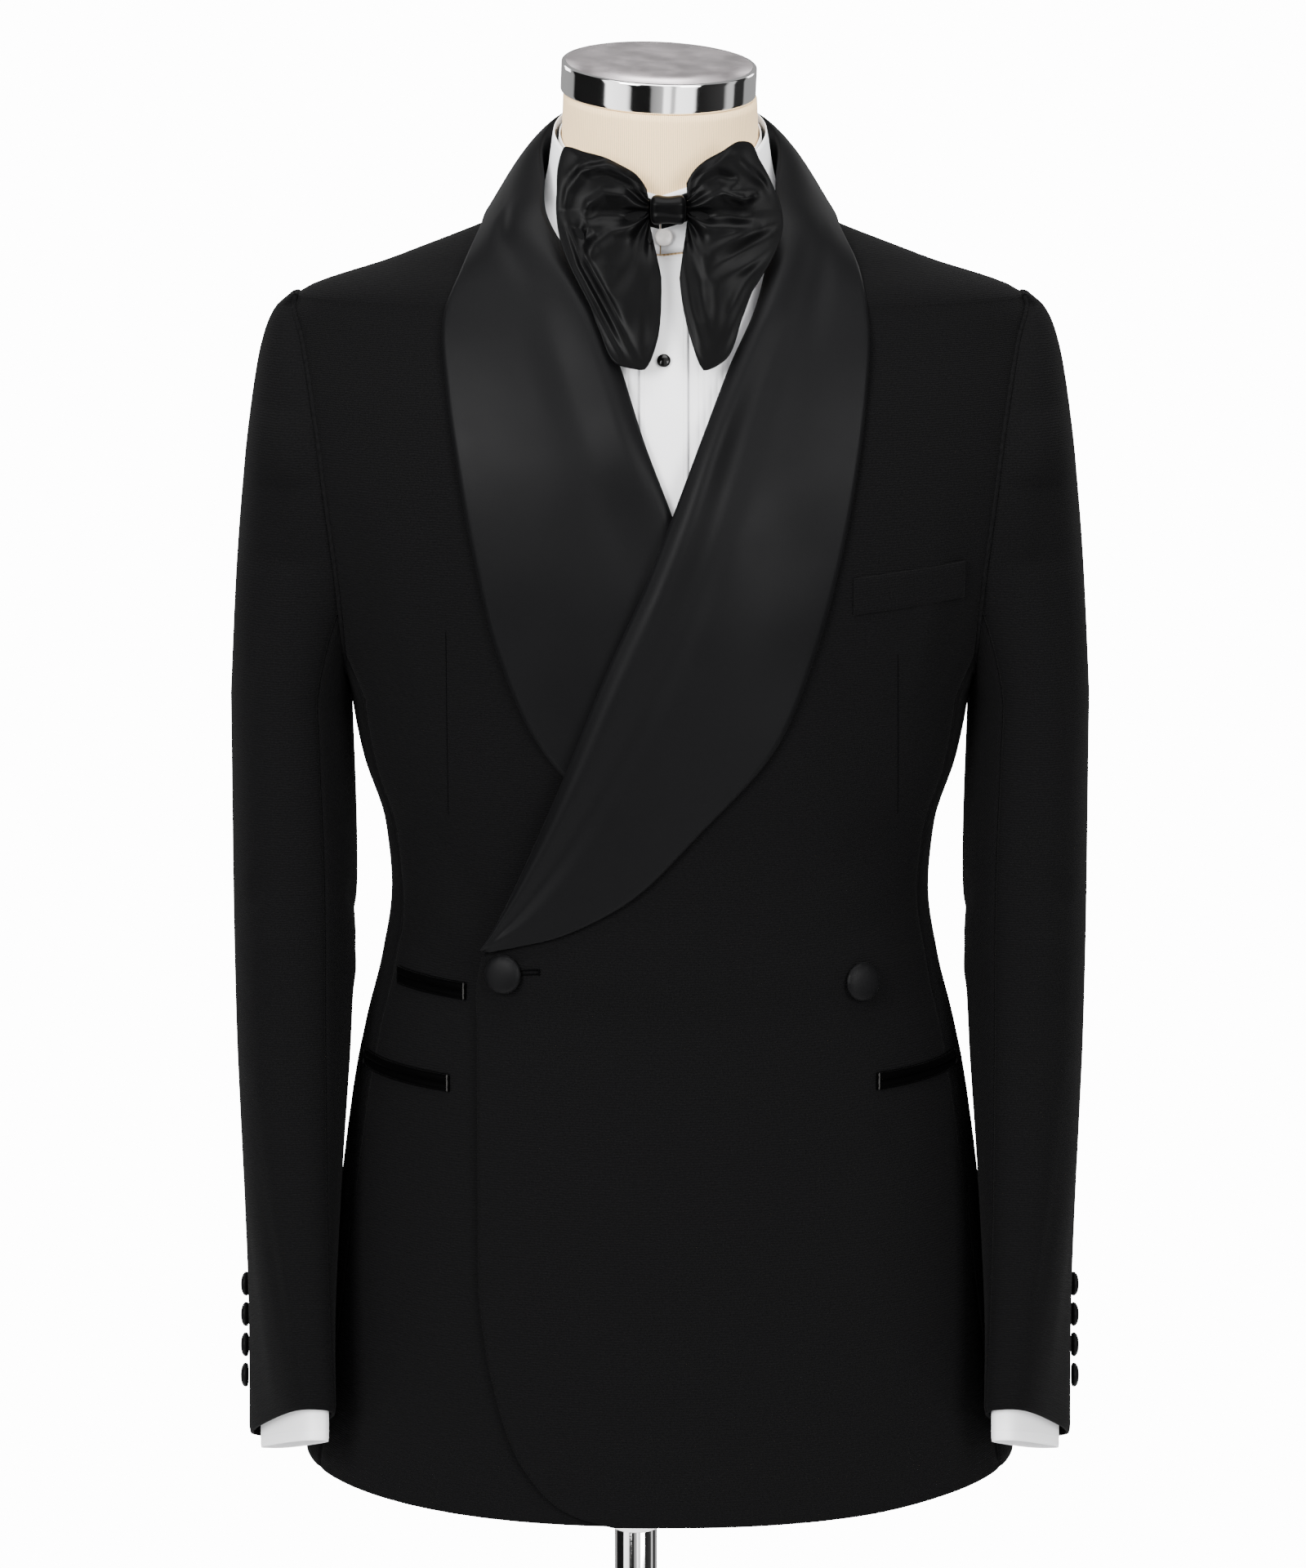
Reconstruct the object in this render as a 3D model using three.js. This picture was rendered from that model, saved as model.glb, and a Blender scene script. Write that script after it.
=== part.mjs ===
import * as THREE from 'three';

// A double-breasted shawl-collar dinner jacket, dress shirt and bow tie on a limbless dress form.
// Millimetres, +Z up, the wearer faces -Y. X is 0 on the wearer's centre line, Z is 0 on the floor.
// "Left" and "right" are the wearer's, so the left pieces have positive X.

// Cloth
const WOOL_WALL = 2;
const SATIN_WALL = 1.6;
const SHIRT_WALL = 1;
const BOW_WALL = 1.5;
const SEAM_GAP = 0.3;
const CLOTH_GAP = 0.6;
const SHIRT_DEPTH = 6;
const PLACKET_RISE = 2;

// Jacket heights
const HEM_Z = 742;
const HEM_SIDE_LIFT = 9;
const HEM_LIFT_HEIGHT = 120;
const ARMHOLE_LOW_Z = 1225;
const ARMHOLE_TOP_Z = 1462;
const ARMHOLE_MID_Z = (ARMHOLE_LOW_Z + ARMHOLE_TOP_Z) / 2;
const ARMHOLE_HALF_HEIGHT = (ARMHOLE_TOP_Z - ARMHOLE_LOW_Z) / 2;
const ARMHOLE_FULLNESS = 0.6;
const SHIRT_ARMHOLE_TRIM = 11;
const SHIRT_SLEEVE_TAPER = 10;
const SHIRT_SLEEVE_TAPER_HEIGHT = 100;
const TRIM_DEPTH = 125;
const SLEEVE_HEAD_Z = 1464;
const SLEEVE_HEAD_TURN_Z = 1458;
const BUTTON_LINE_Z = 1080;

// Seams, as angles round the body from the centre front
const FRONT_SEAM_ANGLE = 70;
const BACK_SEAM_ANGLE = 118;
const SLEEVE_SEAM_ANGLE = 120;
const RIDGE_ANGLE = 90;
const CENTRE_BACK_ANGLE = 180;

// Double-breasted overlap: how far the left front stands off the body over the right one
const OVERLAP_RISE_LAPEL = 8;
const OVERLAP_RISE_SKIRT = 3;
const OVERLAP_RISE_Z = 1040;
const OVERLAP_RISE_HEIGHT = 40;
const OVERLAP_REACH = 70;
const OVERLAP_FADE = 60;
const SKIRT_CORNER_Z = 890;
const FRONT_EDGE_X = 107.5;

// Outer face of the jacket's body: half width, depth in front and behind, squareness
const bodySections = [
  { z: 742, width: 220, front: 146, back: 128, square: 2.35 },
  { z: 860, width: 205, front: 138, back: 124, square: 2.35 },
  { z: 980, width: 188, front: 128, back: 112, square: 2.3 },
  { z: 1022, width: 180, front: 124, back: 104, square: 2.3 },
  { z: 1063, width: 170, front: 120, back: 97, square: 2.25 },
  { z: 1104, width: 164, front: 118, back: 94, square: 2.2 },
  { z: 1145, width: 168, front: 120, back: 97, square: 2.2 },
  { z: 1185, width: 180, front: 124, back: 102, square: 2.25 },
  { z: 1225, width: 186.6, front: 127, back: 107, square: 2.3 },
  { z: 1300, width: 191, front: 129, back: 112, square: 2.3 },
  { z: 1343, width: 196, front: 126, back: 113, square: 2.3 },
  { z: 1400, width: 204, front: 116, back: 109, square: 2.2 },
  { z: 1440, width: 212, front: 100, back: 98, square: 2.1 },
  { z: 1462, width: 218, front: 90, back: 90, square: 2 },
  { z: 1485, width: 160, front: 78, back: 80, square: 2 },
  { z: 1508, width: 101, front: 66, back: 72, square: 2 },
  { z: 1520, width: 76, front: 60, back: 67, square: 2 },
];

// Front edge and roll line of each front, as the distance past the centre line towards its own side.
// The two fronts share the rounded lower corner and the straight edge up to the button.
const skirtEdge = [
  { z: 742, x: -28 },
  { z: 747, x: -48 },
  { z: 754, x: -62 },
  { z: 767, x: -75 },
  { z: 786, x: -87 },
  { z: 813, x: -96 },
  { z: 845, x: -103 },
  { z: 890, x: -FRONT_EDGE_X },
  { z: 1050, x: -FRONT_EDGE_X },
  { z: 1080, x: -102 },
];
const leftFrontEdge = [
  ...skirtEdge,
  { z: 1113, x: -88 },
  { z: 1149, x: -73 },
  { z: 1192, x: -56 },
  { z: 1254, x: -32 },
  { z: 1306, x: -9 },
  { z: 1344, x: 6 },
  { z: 1404, x: 29 },
  { z: 1445, x: 46 },
  { z: 1470, x: 58 },
  { z: 1500, x: 71 },
  { z: 1514, x: 77 },
];
const rightFrontEdge = [
  ...skirtEdge,
  { z: 1149, x: -77 },
  { z: 1192, x: -62 },
  { z: 1254, x: -40 },
  { z: 1306, x: -21 },
  { z: 1349, x: -6 },
  { z: 1368, x: 3 },
  { z: 1406, x: 15 },
  { z: 1437, x: 25 },
  { z: 1474, x: 41 },
  { z: 1502, x: 61 },
  { z: 1514, x: 73 },
];

// Sleeve below the armpit: centre, half thickness, half depth, turn about Z, squareness, slope of the cut
const sleeveSections = [
  { z: 780, x: 224.5, y: -65, thick: 17.5, deep: 58, turn: 21, square: 3, slope: 0.48 },
  { z: 840, x: 225, y: -50, thick: 22, deep: 61, turn: 15, square: 2.8, slope: 0.36 },
  { z: 906, x: 224.7, y: -35, thick: 28, deep: 65, turn: 9, square: 2.6, slope: 0.24 },
  { z: 1016, x: 223.5, y: -15, thick: 35, deep: 70, turn: 3.5, square: 2.4, slope: 0.13 },
  { z: 1117, x: 222, y: -5, thick: 37.5, deep: 73, turn: 1, square: 2.35, slope: 0.04 },
  { z: 1225, x: 223.1, y: 0, thick: 36.1, deep: 74, turn: 0, square: 2.3, slope: 0 },
];

// Outermost line of the sleeve head above the armpit
const sleeveHead = [
  { z: 1225, x: 259.2 },
  { z: 1247, x: 258 },
  { z: 1307, x: 254.5 },
  { z: 1346, x: 251 },
  { z: 1386, x: 246.5 },
  { z: 1425, x: 240.5 },
  { z: 1444, x: 235.5 },
  { z: 1456, x: 229.5 },
  { z: 1464, x: 220.5 },
];

// Shawl collar below the shoulder: roll line and outer edge on the body
const leftShawl = [
  { rollX: -101, rollZ: 1085, edgeX: -96, edgeZ: 1084 },
  { rollX: -96.5, rollZ: 1094, edgeX: -80, edgeZ: 1089 },
  { rollX: -88, rollZ: 1113, edgeX: -55, edgeZ: 1097.5 },
  { rollX: -73, rollZ: 1149, edgeX: -16, edgeZ: 1121 },
  { rollX: -56, rollZ: 1192, edgeX: 21, edgeZ: 1160 },
  { rollX: -32, rollZ: 1254, edgeX: 66, edgeZ: 1213 },
  { rollX: -9, rollZ: 1306, edgeX: 90, edgeZ: 1268 },
  { rollX: 6, rollZ: 1344, edgeX: 103, edgeZ: 1315 },
  { rollX: 24, rollZ: 1391, edgeX: 113, edgeZ: 1366 },
  { rollX: 40, rollZ: 1431, edgeX: 119, edgeZ: 1412 },
  { rollX: 56, rollZ: 1466, edgeX: 121, edgeZ: 1450 },
];
const rightShawl = [
  { rollX: -98.5, rollZ: 1089, edgeX: -92, edgeZ: 1087 },
  { rollX: -95.5, rollZ: 1096, edgeX: -80, edgeZ: 1092 },
  { rollX: -90, rollZ: 1113, edgeX: -55, edgeZ: 1100 },
  { rollX: -77, rollZ: 1149, edgeX: -15, edgeZ: 1123 },
  { rollX: -62, rollZ: 1192, edgeX: 24, edgeZ: 1160 },
  { rollX: -40, rollZ: 1254, edgeX: 70, edgeZ: 1211 },
  { rollX: -21, rollZ: 1306, edgeX: 95, edgeZ: 1268 },
  { rollX: -6, rollZ: 1349, edgeX: 107, edgeZ: 1318 },
  { rollX: 9, rollZ: 1388, edgeX: 117, edgeZ: 1370 },
  { rollX: 24, rollZ: 1433, edgeX: 124, edgeZ: 1418 },
  { rollX: 41, rollZ: 1473, edgeX: 126, edgeZ: 1455 },
];

// Shawl collar round the neck: the seam on the jacket, the fold and the outer edge
const collarSections = [
  { seam: [68, -50, 1513], fold: [66, -54, 1514], edge: [117, -60, 1483] },
  { seam: [75, -29, 1518], fold: [68, -28, 1534], edge: [108, -32, 1503] },
  { seam: [78, 4, 1518], fold: [69, 6, 1554], edge: [102, 8, 1514] },
  { seam: [58, 46, 1518], fold: [53, 51, 1570], edge: [78, 66, 1521] },
  { seam: [28, 64, 1518], fold: [27, 71, 1574], edge: [40, 92, 1524] },
  { seam: [0, 68, 1518], fold: [0, 77, 1575], edge: [0, 99, 1525] },
];

// Rise of the shawl's outer face over the front, from the roll line out to the edge
const shawlRise = [
  { across: 0, rise: 1 },
  { across: 0.05, rise: 4.6 },
  { across: 0.14, rise: 6.8 },
  { across: 0.3, rise: 6 },
  { across: 0.6, rise: 4.2 },
  { across: 1, rise: 3.4 },
];
const SHAWL_FLAT_RISE = 3.4;
const SHAWL_SHOWN_Z = 1350;
const SHAWL_SHOWN_HEIGHT = 60;
const COLLAR_FALL_BULGE = 6.5;

// Limbless form inside the clothes: half width and depths of each section
const formSections = [
  { z: 762, width: 150, front: 108, back: 98, square: 2.2 },
  { z: 778, width: 164, front: 116, back: 107, square: 2.2 },
  { z: 880, width: 172, front: 120, back: 111, square: 2.2 },
  { z: 980, width: 170, front: 115, back: 103, square: 2.2 },
  { z: 1042, width: 162, front: 110, back: 89, square: 2.2 },
  { z: 1104, width: 152, front: 106, back: 82, square: 2.1 },
  { z: 1165, width: 158, front: 109, back: 89, square: 2.1 },
  { z: 1225, width: 168, front: 114, back: 96, square: 2.2 },
  { z: 1300, width: 173, front: 117, back: 101, square: 2.2 },
  { z: 1360, width: 177, front: 112, back: 101, square: 2.2 },
  { z: 1410, width: 180, front: 101, back: 96, square: 2.1 },
  { z: 1440, width: 174, front: 86, back: 87, square: 2 },
  { z: 1462, width: 160, front: 76, back: 79, square: 2 },
  { z: 1485, width: 118, front: 64, back: 69, square: 2 },
  { z: 1505, width: 78, front: 57, back: 61, square: 2 },
  { z: 1520, width: 63, front: 56, back: 58, square: 2 },
  { z: 1545, width: 59, front: 56, back: 57, square: 2 },
  { z: 1581.3, width: 57.5, front: 56.5, back: 56.5, square: 2 },
];

const neckRootLevels = [1495, 1512];

// Neck cap, tipped forward and a little to the left
const CAP_RADIUS = 58;
const CAP_HEIGHT = 18;
const CAP_EDGE = 2;
const CAP_TOP_Z = 1600;
const CAP_PITCH = 10;
const CAP_ROLL = 2.4;
const CAP_X = -0.5;
const NECK_TILT_Z = 1525;

// Stand
const POLE_X = -15;
const POLE_RADIUS = 13.25;
const POLE_COLLAR_RADIUS = 15;
const POLE_COLLAR_HEIGHT = 70;
const BASE_RADIUS = 190;
const BASE_THICKNESS = 10;
const HUB_RADIUS = 26;
const HUB_HEIGHT = 22;

// Buttons and studs
const BUTTON_RADIUS = 11.5;
const BUTTON_DEPTH = 5.5;
const frontButtons = [
  { name: 'front_button_fastened', side: -1, x: 89.5, z: 1071.5 },
  { name: 'front_button_show', side: 1, x: 116, z: 1064 },
];
const CUFF_BUTTON_RADIUS = 7.5;
const CUFF_BUTTON_DEPTH = 5;
const CUFF_BUTTON_COUNT = 4;
const CUFF_BUTTON_LOW_Z = 812;
const CUFF_BUTTON_STEP = 17;
const CUFF_BUTTON_ANGLE = -42;
const STUD_Z = 1435;
const COLLAR_BUTTON_Z = 1502;
const STUD_RADIUS = 4;
const STUD_DEPTH = 2.6;
const COLLAR_BUTTON_RADIUS = 5.2;
const SMALL_BUTTON_DEPTH = 2.2;

// Shirt
const SHIRT_HEM_Z = 800;
const YOKE_Z = 1461.5;
const YOKE_TOP_Z = 1512;
const NECK_HALF_WIDTH = 100;
const YOKE_GAP = 1;
const YOKE_NECK_OUT = 3.2;
const PLACKET_X = 2;
const PLACKET_HALF_WIDTH = 14;
const PLEAT_START = 20;
const PLEAT_PITCH = 7;
const PLEAT_COUNT = 4;
const PLEAT_RISE = 0.8;
const CUFF_LOW_Z = 768;
const CUFF_HIGH_Z = 823;
const CUFF_SLOPE = 0.385;
const CUFF_INSET = 6;
const CUFF_SHIFT = -1.5;
const SHIRT_SLEEVE_INSET = 6.5;
const SHIRT_SLEEVE_LOW_Z = 823.5;

// Shirt collar: heights of the band and the leaf at the front, the side and the back
const shirtCollar = [
  { angle: 0, bandLow: 1492, top: 1527, leafLow: 1493 },
  { angle: 40, bandLow: 1500, top: 1541, leafLow: 1499 },
  { angle: 90, bandLow: 1518, top: 1561, leafLow: 1521 },
  { angle: 140, bandLow: 1530, top: 1576, leafLow: 1536 },
  { angle: 180, bandLow: 1534, top: 1581, leafLow: 1540 },
];
const COLLAR_LEAF_START = 17;
const COLLAR_LEAF_OUT = 4.4;
const COLLAR_LEAF_SPREAD = 3.4;
const COLLAR_BAND_OUT = 1;

// Bow tie: reach of each wing from the knot along its rays, and how it falls forward
const BOW_X = 4.5;
const BOW_Z = 1519;
const BOW_Y = -74.5;
const BOW_LEAN = 0.46;
const BOW_STRAP_HEIGHT = 16;
const BOW_STRAP_DROP = 4;
const BOW_STRAP_OUT = 2.7;
const BOW_STRAP_REACH = 7.5;
const BOW_STRAP_SHARPNESS = 60;
const KNOT_HALF_WIDTH = 10.5;
const KNOT_HALF_HEIGHT = 8.5;
const KNOT_HALF_DEPTH = 8;
const bowLeftWing = [
  { angle: 82, reach: 15 },
  { angle: 74, reach: 23 },
  { angle: 65, reach: 31 },
  { angle: 56, reach: 40 },
  { angle: 50, reach: 51 },
  { angle: 43, reach: 55 },
  { angle: 32, reach: 53 },
  { angle: 16, reach: 54 },
  { angle: 2, reach: 57 },
  { angle: -12, reach: 59 },
  { angle: -32, reach: 58.5 },
  { angle: -46, reach: 60 },
  { angle: -60, reach: 69 },
  { angle: -74, reach: 87 },
  { angle: -82, reach: 90 },
  { angle: -87, reach: 69 },
  { angle: -93, reach: 38 },
];
const bowRightWing = [
  { angle: 72, reach: 12 },
  { angle: 64, reach: 22 },
  { angle: 54, reach: 31 },
  { angle: 46, reach: 42 },
  { angle: 40, reach: 51 },
  { angle: 34.5, reach: 63 },
  { angle: 25, reach: 61 },
  { angle: 8, reach: 57 },
  { angle: -8, reach: 56.5 },
  { angle: -25, reach: 57 },
  { angle: -40, reach: 59 },
  { angle: -54, reach: 64 },
  { angle: -65, reach: 74 },
  { angle: -77, reach: 88.5 },
  { angle: -86, reach: 89 },
  { angle: -92, reach: 72 },
  { angle: -97, reach: 38 },
];
const BOW_FOLDS = 4;
const BOW_FOLD_DEPTH = 3.4;

// Pockets: ends of each opening on the body, and half the height of the finished edge
const jetProfile = [
  { up: -1, rise: 1 },
  { up: -0.55, rise: 1.7 },
  { up: -0.06, rise: 0.9 },
  { up: 0.06, rise: 0.9 },
  { up: 0.55, rise: 1.7 },
  { up: 1, rise: 1 },
];
const weltProfile = [
  { up: -1, rise: 1 },
  { up: -0.7, rise: 1.4 },
  { up: 0.7, rise: 1.4 },
  { up: 1, rise: 1 },
];
const pockets = [
  { name: 'hip_jets_right', side: -1, frontX: 125, frontZ: 1003, backX: 178, backZ: 1004, half: 4.6 },
  { name: 'hip_jets_left', side: 1, frontX: 127, frontZ: 1004, backX: 178, backZ: 1004, half: 4.6 },
  { name: 'ticket_jets_right', side: -1, frontX: 115, frontZ: 1058, backX: 157, backZ: 1059, half: 4.6 },
  { name: 'chest_welt_left', side: 1, frontX: 112, frontZ: 1298, backX: 178, backZ: 1304, half: 11, plain: true },
];

// Colours
const finishes = {
  wool: { color: 0x1b1b1c, roughness: 0.9, metalness: 0 },
  satin: { color: 0x202022, roughness: 0.4, metalness: 0 },
  shirting: { color: 0xe9e9ea, roughness: 0.8, metalness: 0 },
  onyx: { color: 0x0c0c0d, roughness: 0.2, metalness: 0 },
  pearl: { color: 0xf1efec, roughness: 0.25, metalness: 0 },
  cover: { color: 0xe8dcc6, roughness: 0.9, metalness: 0 },
  steel: { color: 0xb5b1b1, roughness: 0.3, metalness: 1 },
};

// Small maths
const radians = (degrees) => degrees * Math.PI / 180;
const mix = (from, to, share) => from + (to - from) * share;
const unit = (value) => Math.min(1, Math.max(0, value));
const smooth = (value) => unit(value) ** 2 * (3 - 2 * unit(value));
const signedPower = (value, power) => Math.sign(value) * Math.abs(value) ** power;

// Even steps from one value to another
function steps(from, to, count) {
  return Array.from({ length: count + 1 }, (_, i) => mix(from, to, i / count));
}

// A smooth curve through one column of a table, without overshoot between its rows
function columnCurve(table, key, column) {
  const keys = table.map((row) => row[key]);
  const values = table.map((row) => row[column]);
  const rises = keys.slice(1).map((k, i) => (values[i + 1] - values[i]) / (k - keys[i]));
  const slopes = values.map((_, i) => {
    if (i === 0) return rises[0];
    if (i === rises.length) return rises[i - 1];
    const product = rises[i - 1] * rises[i];
    return product <= 0 ? 0 : 2 * product / (rises[i - 1] + rises[i]);
  });
  return (at) => {
    if (at <= keys[0]) return values[0];
    if (at >= keys[keys.length - 1]) return values[values.length - 1];
    const i = keys.findIndex((k, j) => at < keys[j + 1]);
    const span = keys[i + 1] - keys[i];
    const t = (at - keys[i]) / span;
    const h = t * t * (3 - 2 * t);
    const start = slopes[i] * span * t * (1 - t) ** 2;
    const end = slopes[i + 1] * span * t * t * (t - 1);
    return mix(values[i], values[i + 1], h) + start + end;
  };
}

function columnCurves(table, key, columns) {
  return Object.fromEntries(columns.map((column) => [column, columnCurve(table, key, column)]));
}

const body = columnCurves(bodySections, 'z', ['width', 'front', 'back', 'square']);
const form = columnCurves(formSections, 'z', ['width', 'front', 'back', 'square']);
const sleeve = columnCurves(sleeveSections, 'z', ['x', 'y', 'thick', 'deep', 'turn', 'square', 'slope']);
const headX = columnCurve(sleeveHead, 'z', 'x');
const frontEdges = { 1: columnCurve(leftFrontEdge, 'z', 'x'), '-1': columnCurve(rightFrontEdge, 'z', 'x') };
const shirtCollarAt = columnCurves(shirtCollar, 'angle', ['bandLow', 'top', 'leafLow']);

// Angle of the armhole's edge round the body. "trim" makes a smaller armhole inside it, for the shirt.
function armholeAngle(z, trim = 0) {
  if (z <= ARMHOLE_LOW_Z + trim || z >= ARMHOLE_TOP_Z - trim) return RIDGE_ANGLE;
  const fullness = ARMHOLE_FULLNESS - trim / TRIM_DEPTH;
  const share = fullness * Math.sqrt(1 - ((z - ARMHOLE_MID_Z) / (ARMHOLE_HALF_HEIGHT - trim)) ** 2);
  return Math.acos(share ** (body.square(z) / 2)) / radians(1);
}

// The height at which the armhole's lower half crosses an angle round the body
function armholeFloor(angle) {
  let low = ARMHOLE_LOW_Z;
  let high = ARMHOLE_MID_Z;
  const target = Math.min(angle, CENTRE_BACK_ANGLE - angle);
  for (let i = 0; i < 30; i += 1) {
    const middle = (low + high) / 2;
    if (armholeAngle(middle) > target) low = middle;
    else high = middle;
  }
  return low;
}

// Half width of a body section: wider than the armhole's line where the armhole cuts it
function bodyWidth(z) {
  return body.width(z) / Math.sin(radians(armholeAngle(z))) ** (2 / body.square(z));
}

function bodySurface(z, angle) {
  const t = radians(angle);
  const power = 2 / body.square(z);
  const x = bodyWidth(z) * signedPower(Math.sin(t), power);
  const depth = Math.cos(t) > 0 ? body.front(z) : body.back(z);
  const y = -depth * signedPower(Math.cos(t), power);
  const lift = HEM_SIDE_LIFT * Math.sin(t) ** 2 * unit(1 - (z - HEM_Z) / HEM_LIFT_HEIGHT);
  return new THREE.Vector3(x, y, z + lift);
}

// A point on the body moved out along the surface normal
function bodyPoint(z, angle, out = 0) {
  const point = bodySurface(z, angle);
  if (out === 0) return point;
  const step = 0.4;
  const round = bodySurface(z, angle + step).sub(bodySurface(z, angle - step));
  const up = bodySurface(z + step, angle).sub(bodySurface(z - step, angle));
  return point.addScaledVector(round.cross(up).normalize(), out);
}

// Angle round the front of the body at a distance from the centre line
function angleAt(z, x) {
  const share = Math.max(-1, Math.min(1, x / bodyWidth(z)));
  return Math.asin(signedPower(share, body.square(z) / 2)) / radians(1);
}

// How far the left front stands off, over the right front and its lapel
function overlapRise(z, x) {
  const underEdge = z < SKIRT_CORNER_Z ? FRONT_EDGE_X : -frontEdges[-1](z);
  const share = smooth((z - OVERLAP_RISE_Z) / OVERLAP_RISE_HEIGHT);
  const full = mix(OVERLAP_RISE_SKIRT, OVERLAP_RISE_LAPEL, share);
  return full * smooth((underEdge + OVERLAP_REACH - x) / OVERLAP_FADE);
}

const frontRise = (side, z, x) => (side > 0 ? overlapRise(z, x) : 0);

// The same grid moved in along its own normals. "outward" points roughly out near its middle.
function movedIn(grid, thickness, outward) {
  const rows = grid.length;
  const columns = grid[0].length;
  const row = (i) => grid[Math.min(rows - 1, Math.max(0, i))];
  const column = (j) => Math.min(columns - 1, Math.max(0, j));
  const normalAt = (i, j) => {
    const along = row(i + 1)[j].clone().sub(row(i - 1)[j]);
    const across = grid[i][column(j + 1)].clone().sub(grid[i][column(j - 1)]);
    return across.cross(along).normalize();
  };
  const sign = normalAt(rows >> 1, columns >> 1).dot(outward) < 0 ? -1 : 1;
  return grid.map((points, i) => points.map((point, j) => (
    point.clone().addScaledVector(normalAt(i, j), -sign * thickness)
  )));
}

// Closed wall between two grids of points, joined round their four edges
function wallGeometry(outer, inner) {
  const rows = outer.length;
  const columns = outer[0].length;
  const positions = [...outer, ...inner].flat().flatMap((point) => point.toArray());
  const index = [];
  const quad = (a, b, c, d) => index.push(a, b, c, a, c, d);
  const size = rows * columns;
  for (let i = 0; i + 1 < rows; i += 1) {
    for (let j = 0; j + 1 < columns; j += 1) {
      const a = i * columns + j;
      quad(a, a + 1, a + columns + 1, a + columns);
      quad(size + a, size + a + columns, size + a + columns + 1, size + a + 1);
    }
  }
  const rim = [];
  for (let j = 0; j + 1 < columns; j += 1) rim.push(j);
  for (let i = 0; i + 1 < rows; i += 1) rim.push(i * columns + columns - 1);
  for (let j = columns - 1; j > 0; j -= 1) rim.push((rows - 1) * columns + j);
  for (let i = rows - 1; i > 0; i -= 1) rim.push(i * columns);
  rim.forEach((from, i) => {
    const to = rim[(i + 1) % rim.length];
    quad(from, size + from, size + to, to);
  });
  return closedGeometry(positions, index);
}

// Closed tube wall from rings of outer and inner points, open at both ends
function tubeGeometry(outerRings, innerRings) {
  const rows = outerRings.length;
  const columns = outerRings[0].length;
  const positions = [...outerRings, ...innerRings].flat().flatMap((point) => point.toArray());
  const size = rows * columns;
  const index = [];
  const quad = (a, b, c, d) => index.push(a, b, c, a, c, d);
  for (let j = 0; j < columns; j += 1) {
    const next = (j + 1) % columns;
    for (let i = 0; i + 1 < rows; i += 1) {
      const low = i * columns;
      const high = low + columns;
      quad(low + j, low + next, high + next, high + j);
      quad(size + low + j, size + high + j, size + high + next, size + low + next);
    }
    const top = (rows - 1) * columns;
    quad(j, size + j, size + next, next);
    quad(top + j, top + next, size + top + next, size + top + j);
  }
  return closedGeometry(positions, index);
}

// Closed solid from rings, with a flat fan at each end
function solidGeometry(rings) {
  const rows = rings.length;
  const columns = rings[0].length;
  const positions = rings.flat().flatMap((point) => point.toArray());
  const centre = (ring) => ring.reduce((sum, p) => sum.add(p), new THREE.Vector3()).divideScalar(columns);
  positions.push(...centre(rings[0]).toArray(), ...centre(rings[rows - 1]).toArray());
  const size = rows * columns;
  const index = [];
  for (let j = 0; j < columns; j += 1) {
    const next = (j + 1) % columns;
    for (let i = 0; i + 1 < rows; i += 1) {
      const low = i * columns;
      const high = low + columns;
      index.push(low + j, low + next, high + next, low + j, high + next, high + j);
    }
    const top = (rows - 1) * columns;
    index.push(size, next, j);
    index.push(size + 1, top + j, top + next);
  }
  return closedGeometry(positions, index);
}

// Indexed geometry with its faces pointing out
function closedGeometry(positions, index) {
  let volume = 0;
  const at = (i) => new THREE.Vector3(...positions.slice(i * 3, i * 3 + 3));
  for (let i = 0; i < index.length; i += 3) {
    volume += at(index[i]).dot(at(index[i + 1]).cross(at(index[i + 2])));
  }
  const faces = volume < 0 ? index.slice().reverse() : index;
  const geometry = new THREE.BufferGeometry();
  geometry.setAttribute('position', new THREE.Float32BufferAttribute(positions, 3));
  geometry.setIndex(faces);
  geometry.computeVertexNormals();
  return geometry;
}

const tuxedo = new THREE.Group();

function addPiece(name, geometry, finish) {
  const mesh = new THREE.Mesh(geometry, new THREE.MeshStandardMaterial(finishes[finish]));
  mesh.name = name;
  tuxedo.add(mesh);
  return mesh;
}

const sideName = (side) => (side > 0 ? 'left' : 'right');
const mirrored = (point, side) => new THREE.Vector3(point.x * side, point.y, point.z);
const mirroredGrid = (grid, side) => grid.map((row) => row.map((point) => mirrored(point, side)));

// Angle that a seam's half gap takes up at a height
function gapAngle(z, gap = SEAM_GAP / 2) {
  return gap / (Math.max(body.front(z), 60) * radians(1));
}

// Jacket fronts
const FRONT_COLUMNS = 9;
const frontLevels = [
  742, 748, 756, 768, 787, 813, 845, 890, 940, 985, 1022, 1063, 1084, 1104, 1145, 1190, 1225, 1254,
  1290, 1318, 1345, 1390, 1430, 1450, 1461.5, 1478, 1494, 1506, 1514,
];
const ROLL_SETBACK = 4.6;
const ROLL_SETBACK_HEIGHT = 8;
const NECK_SETBACK = 4;
const NECK_SETBACK_Z = 1465;
const NECK_SETBACK_HEIGHT = 30;

function sideSeamAngle(z) {
  if (z > ARMHOLE_TOP_Z) return RIDGE_ANGLE;
  return z > armholeFloor(FRONT_SEAM_ANGLE) ? armholeAngle(z) : FRONT_SEAM_ANGLE;
}

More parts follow.
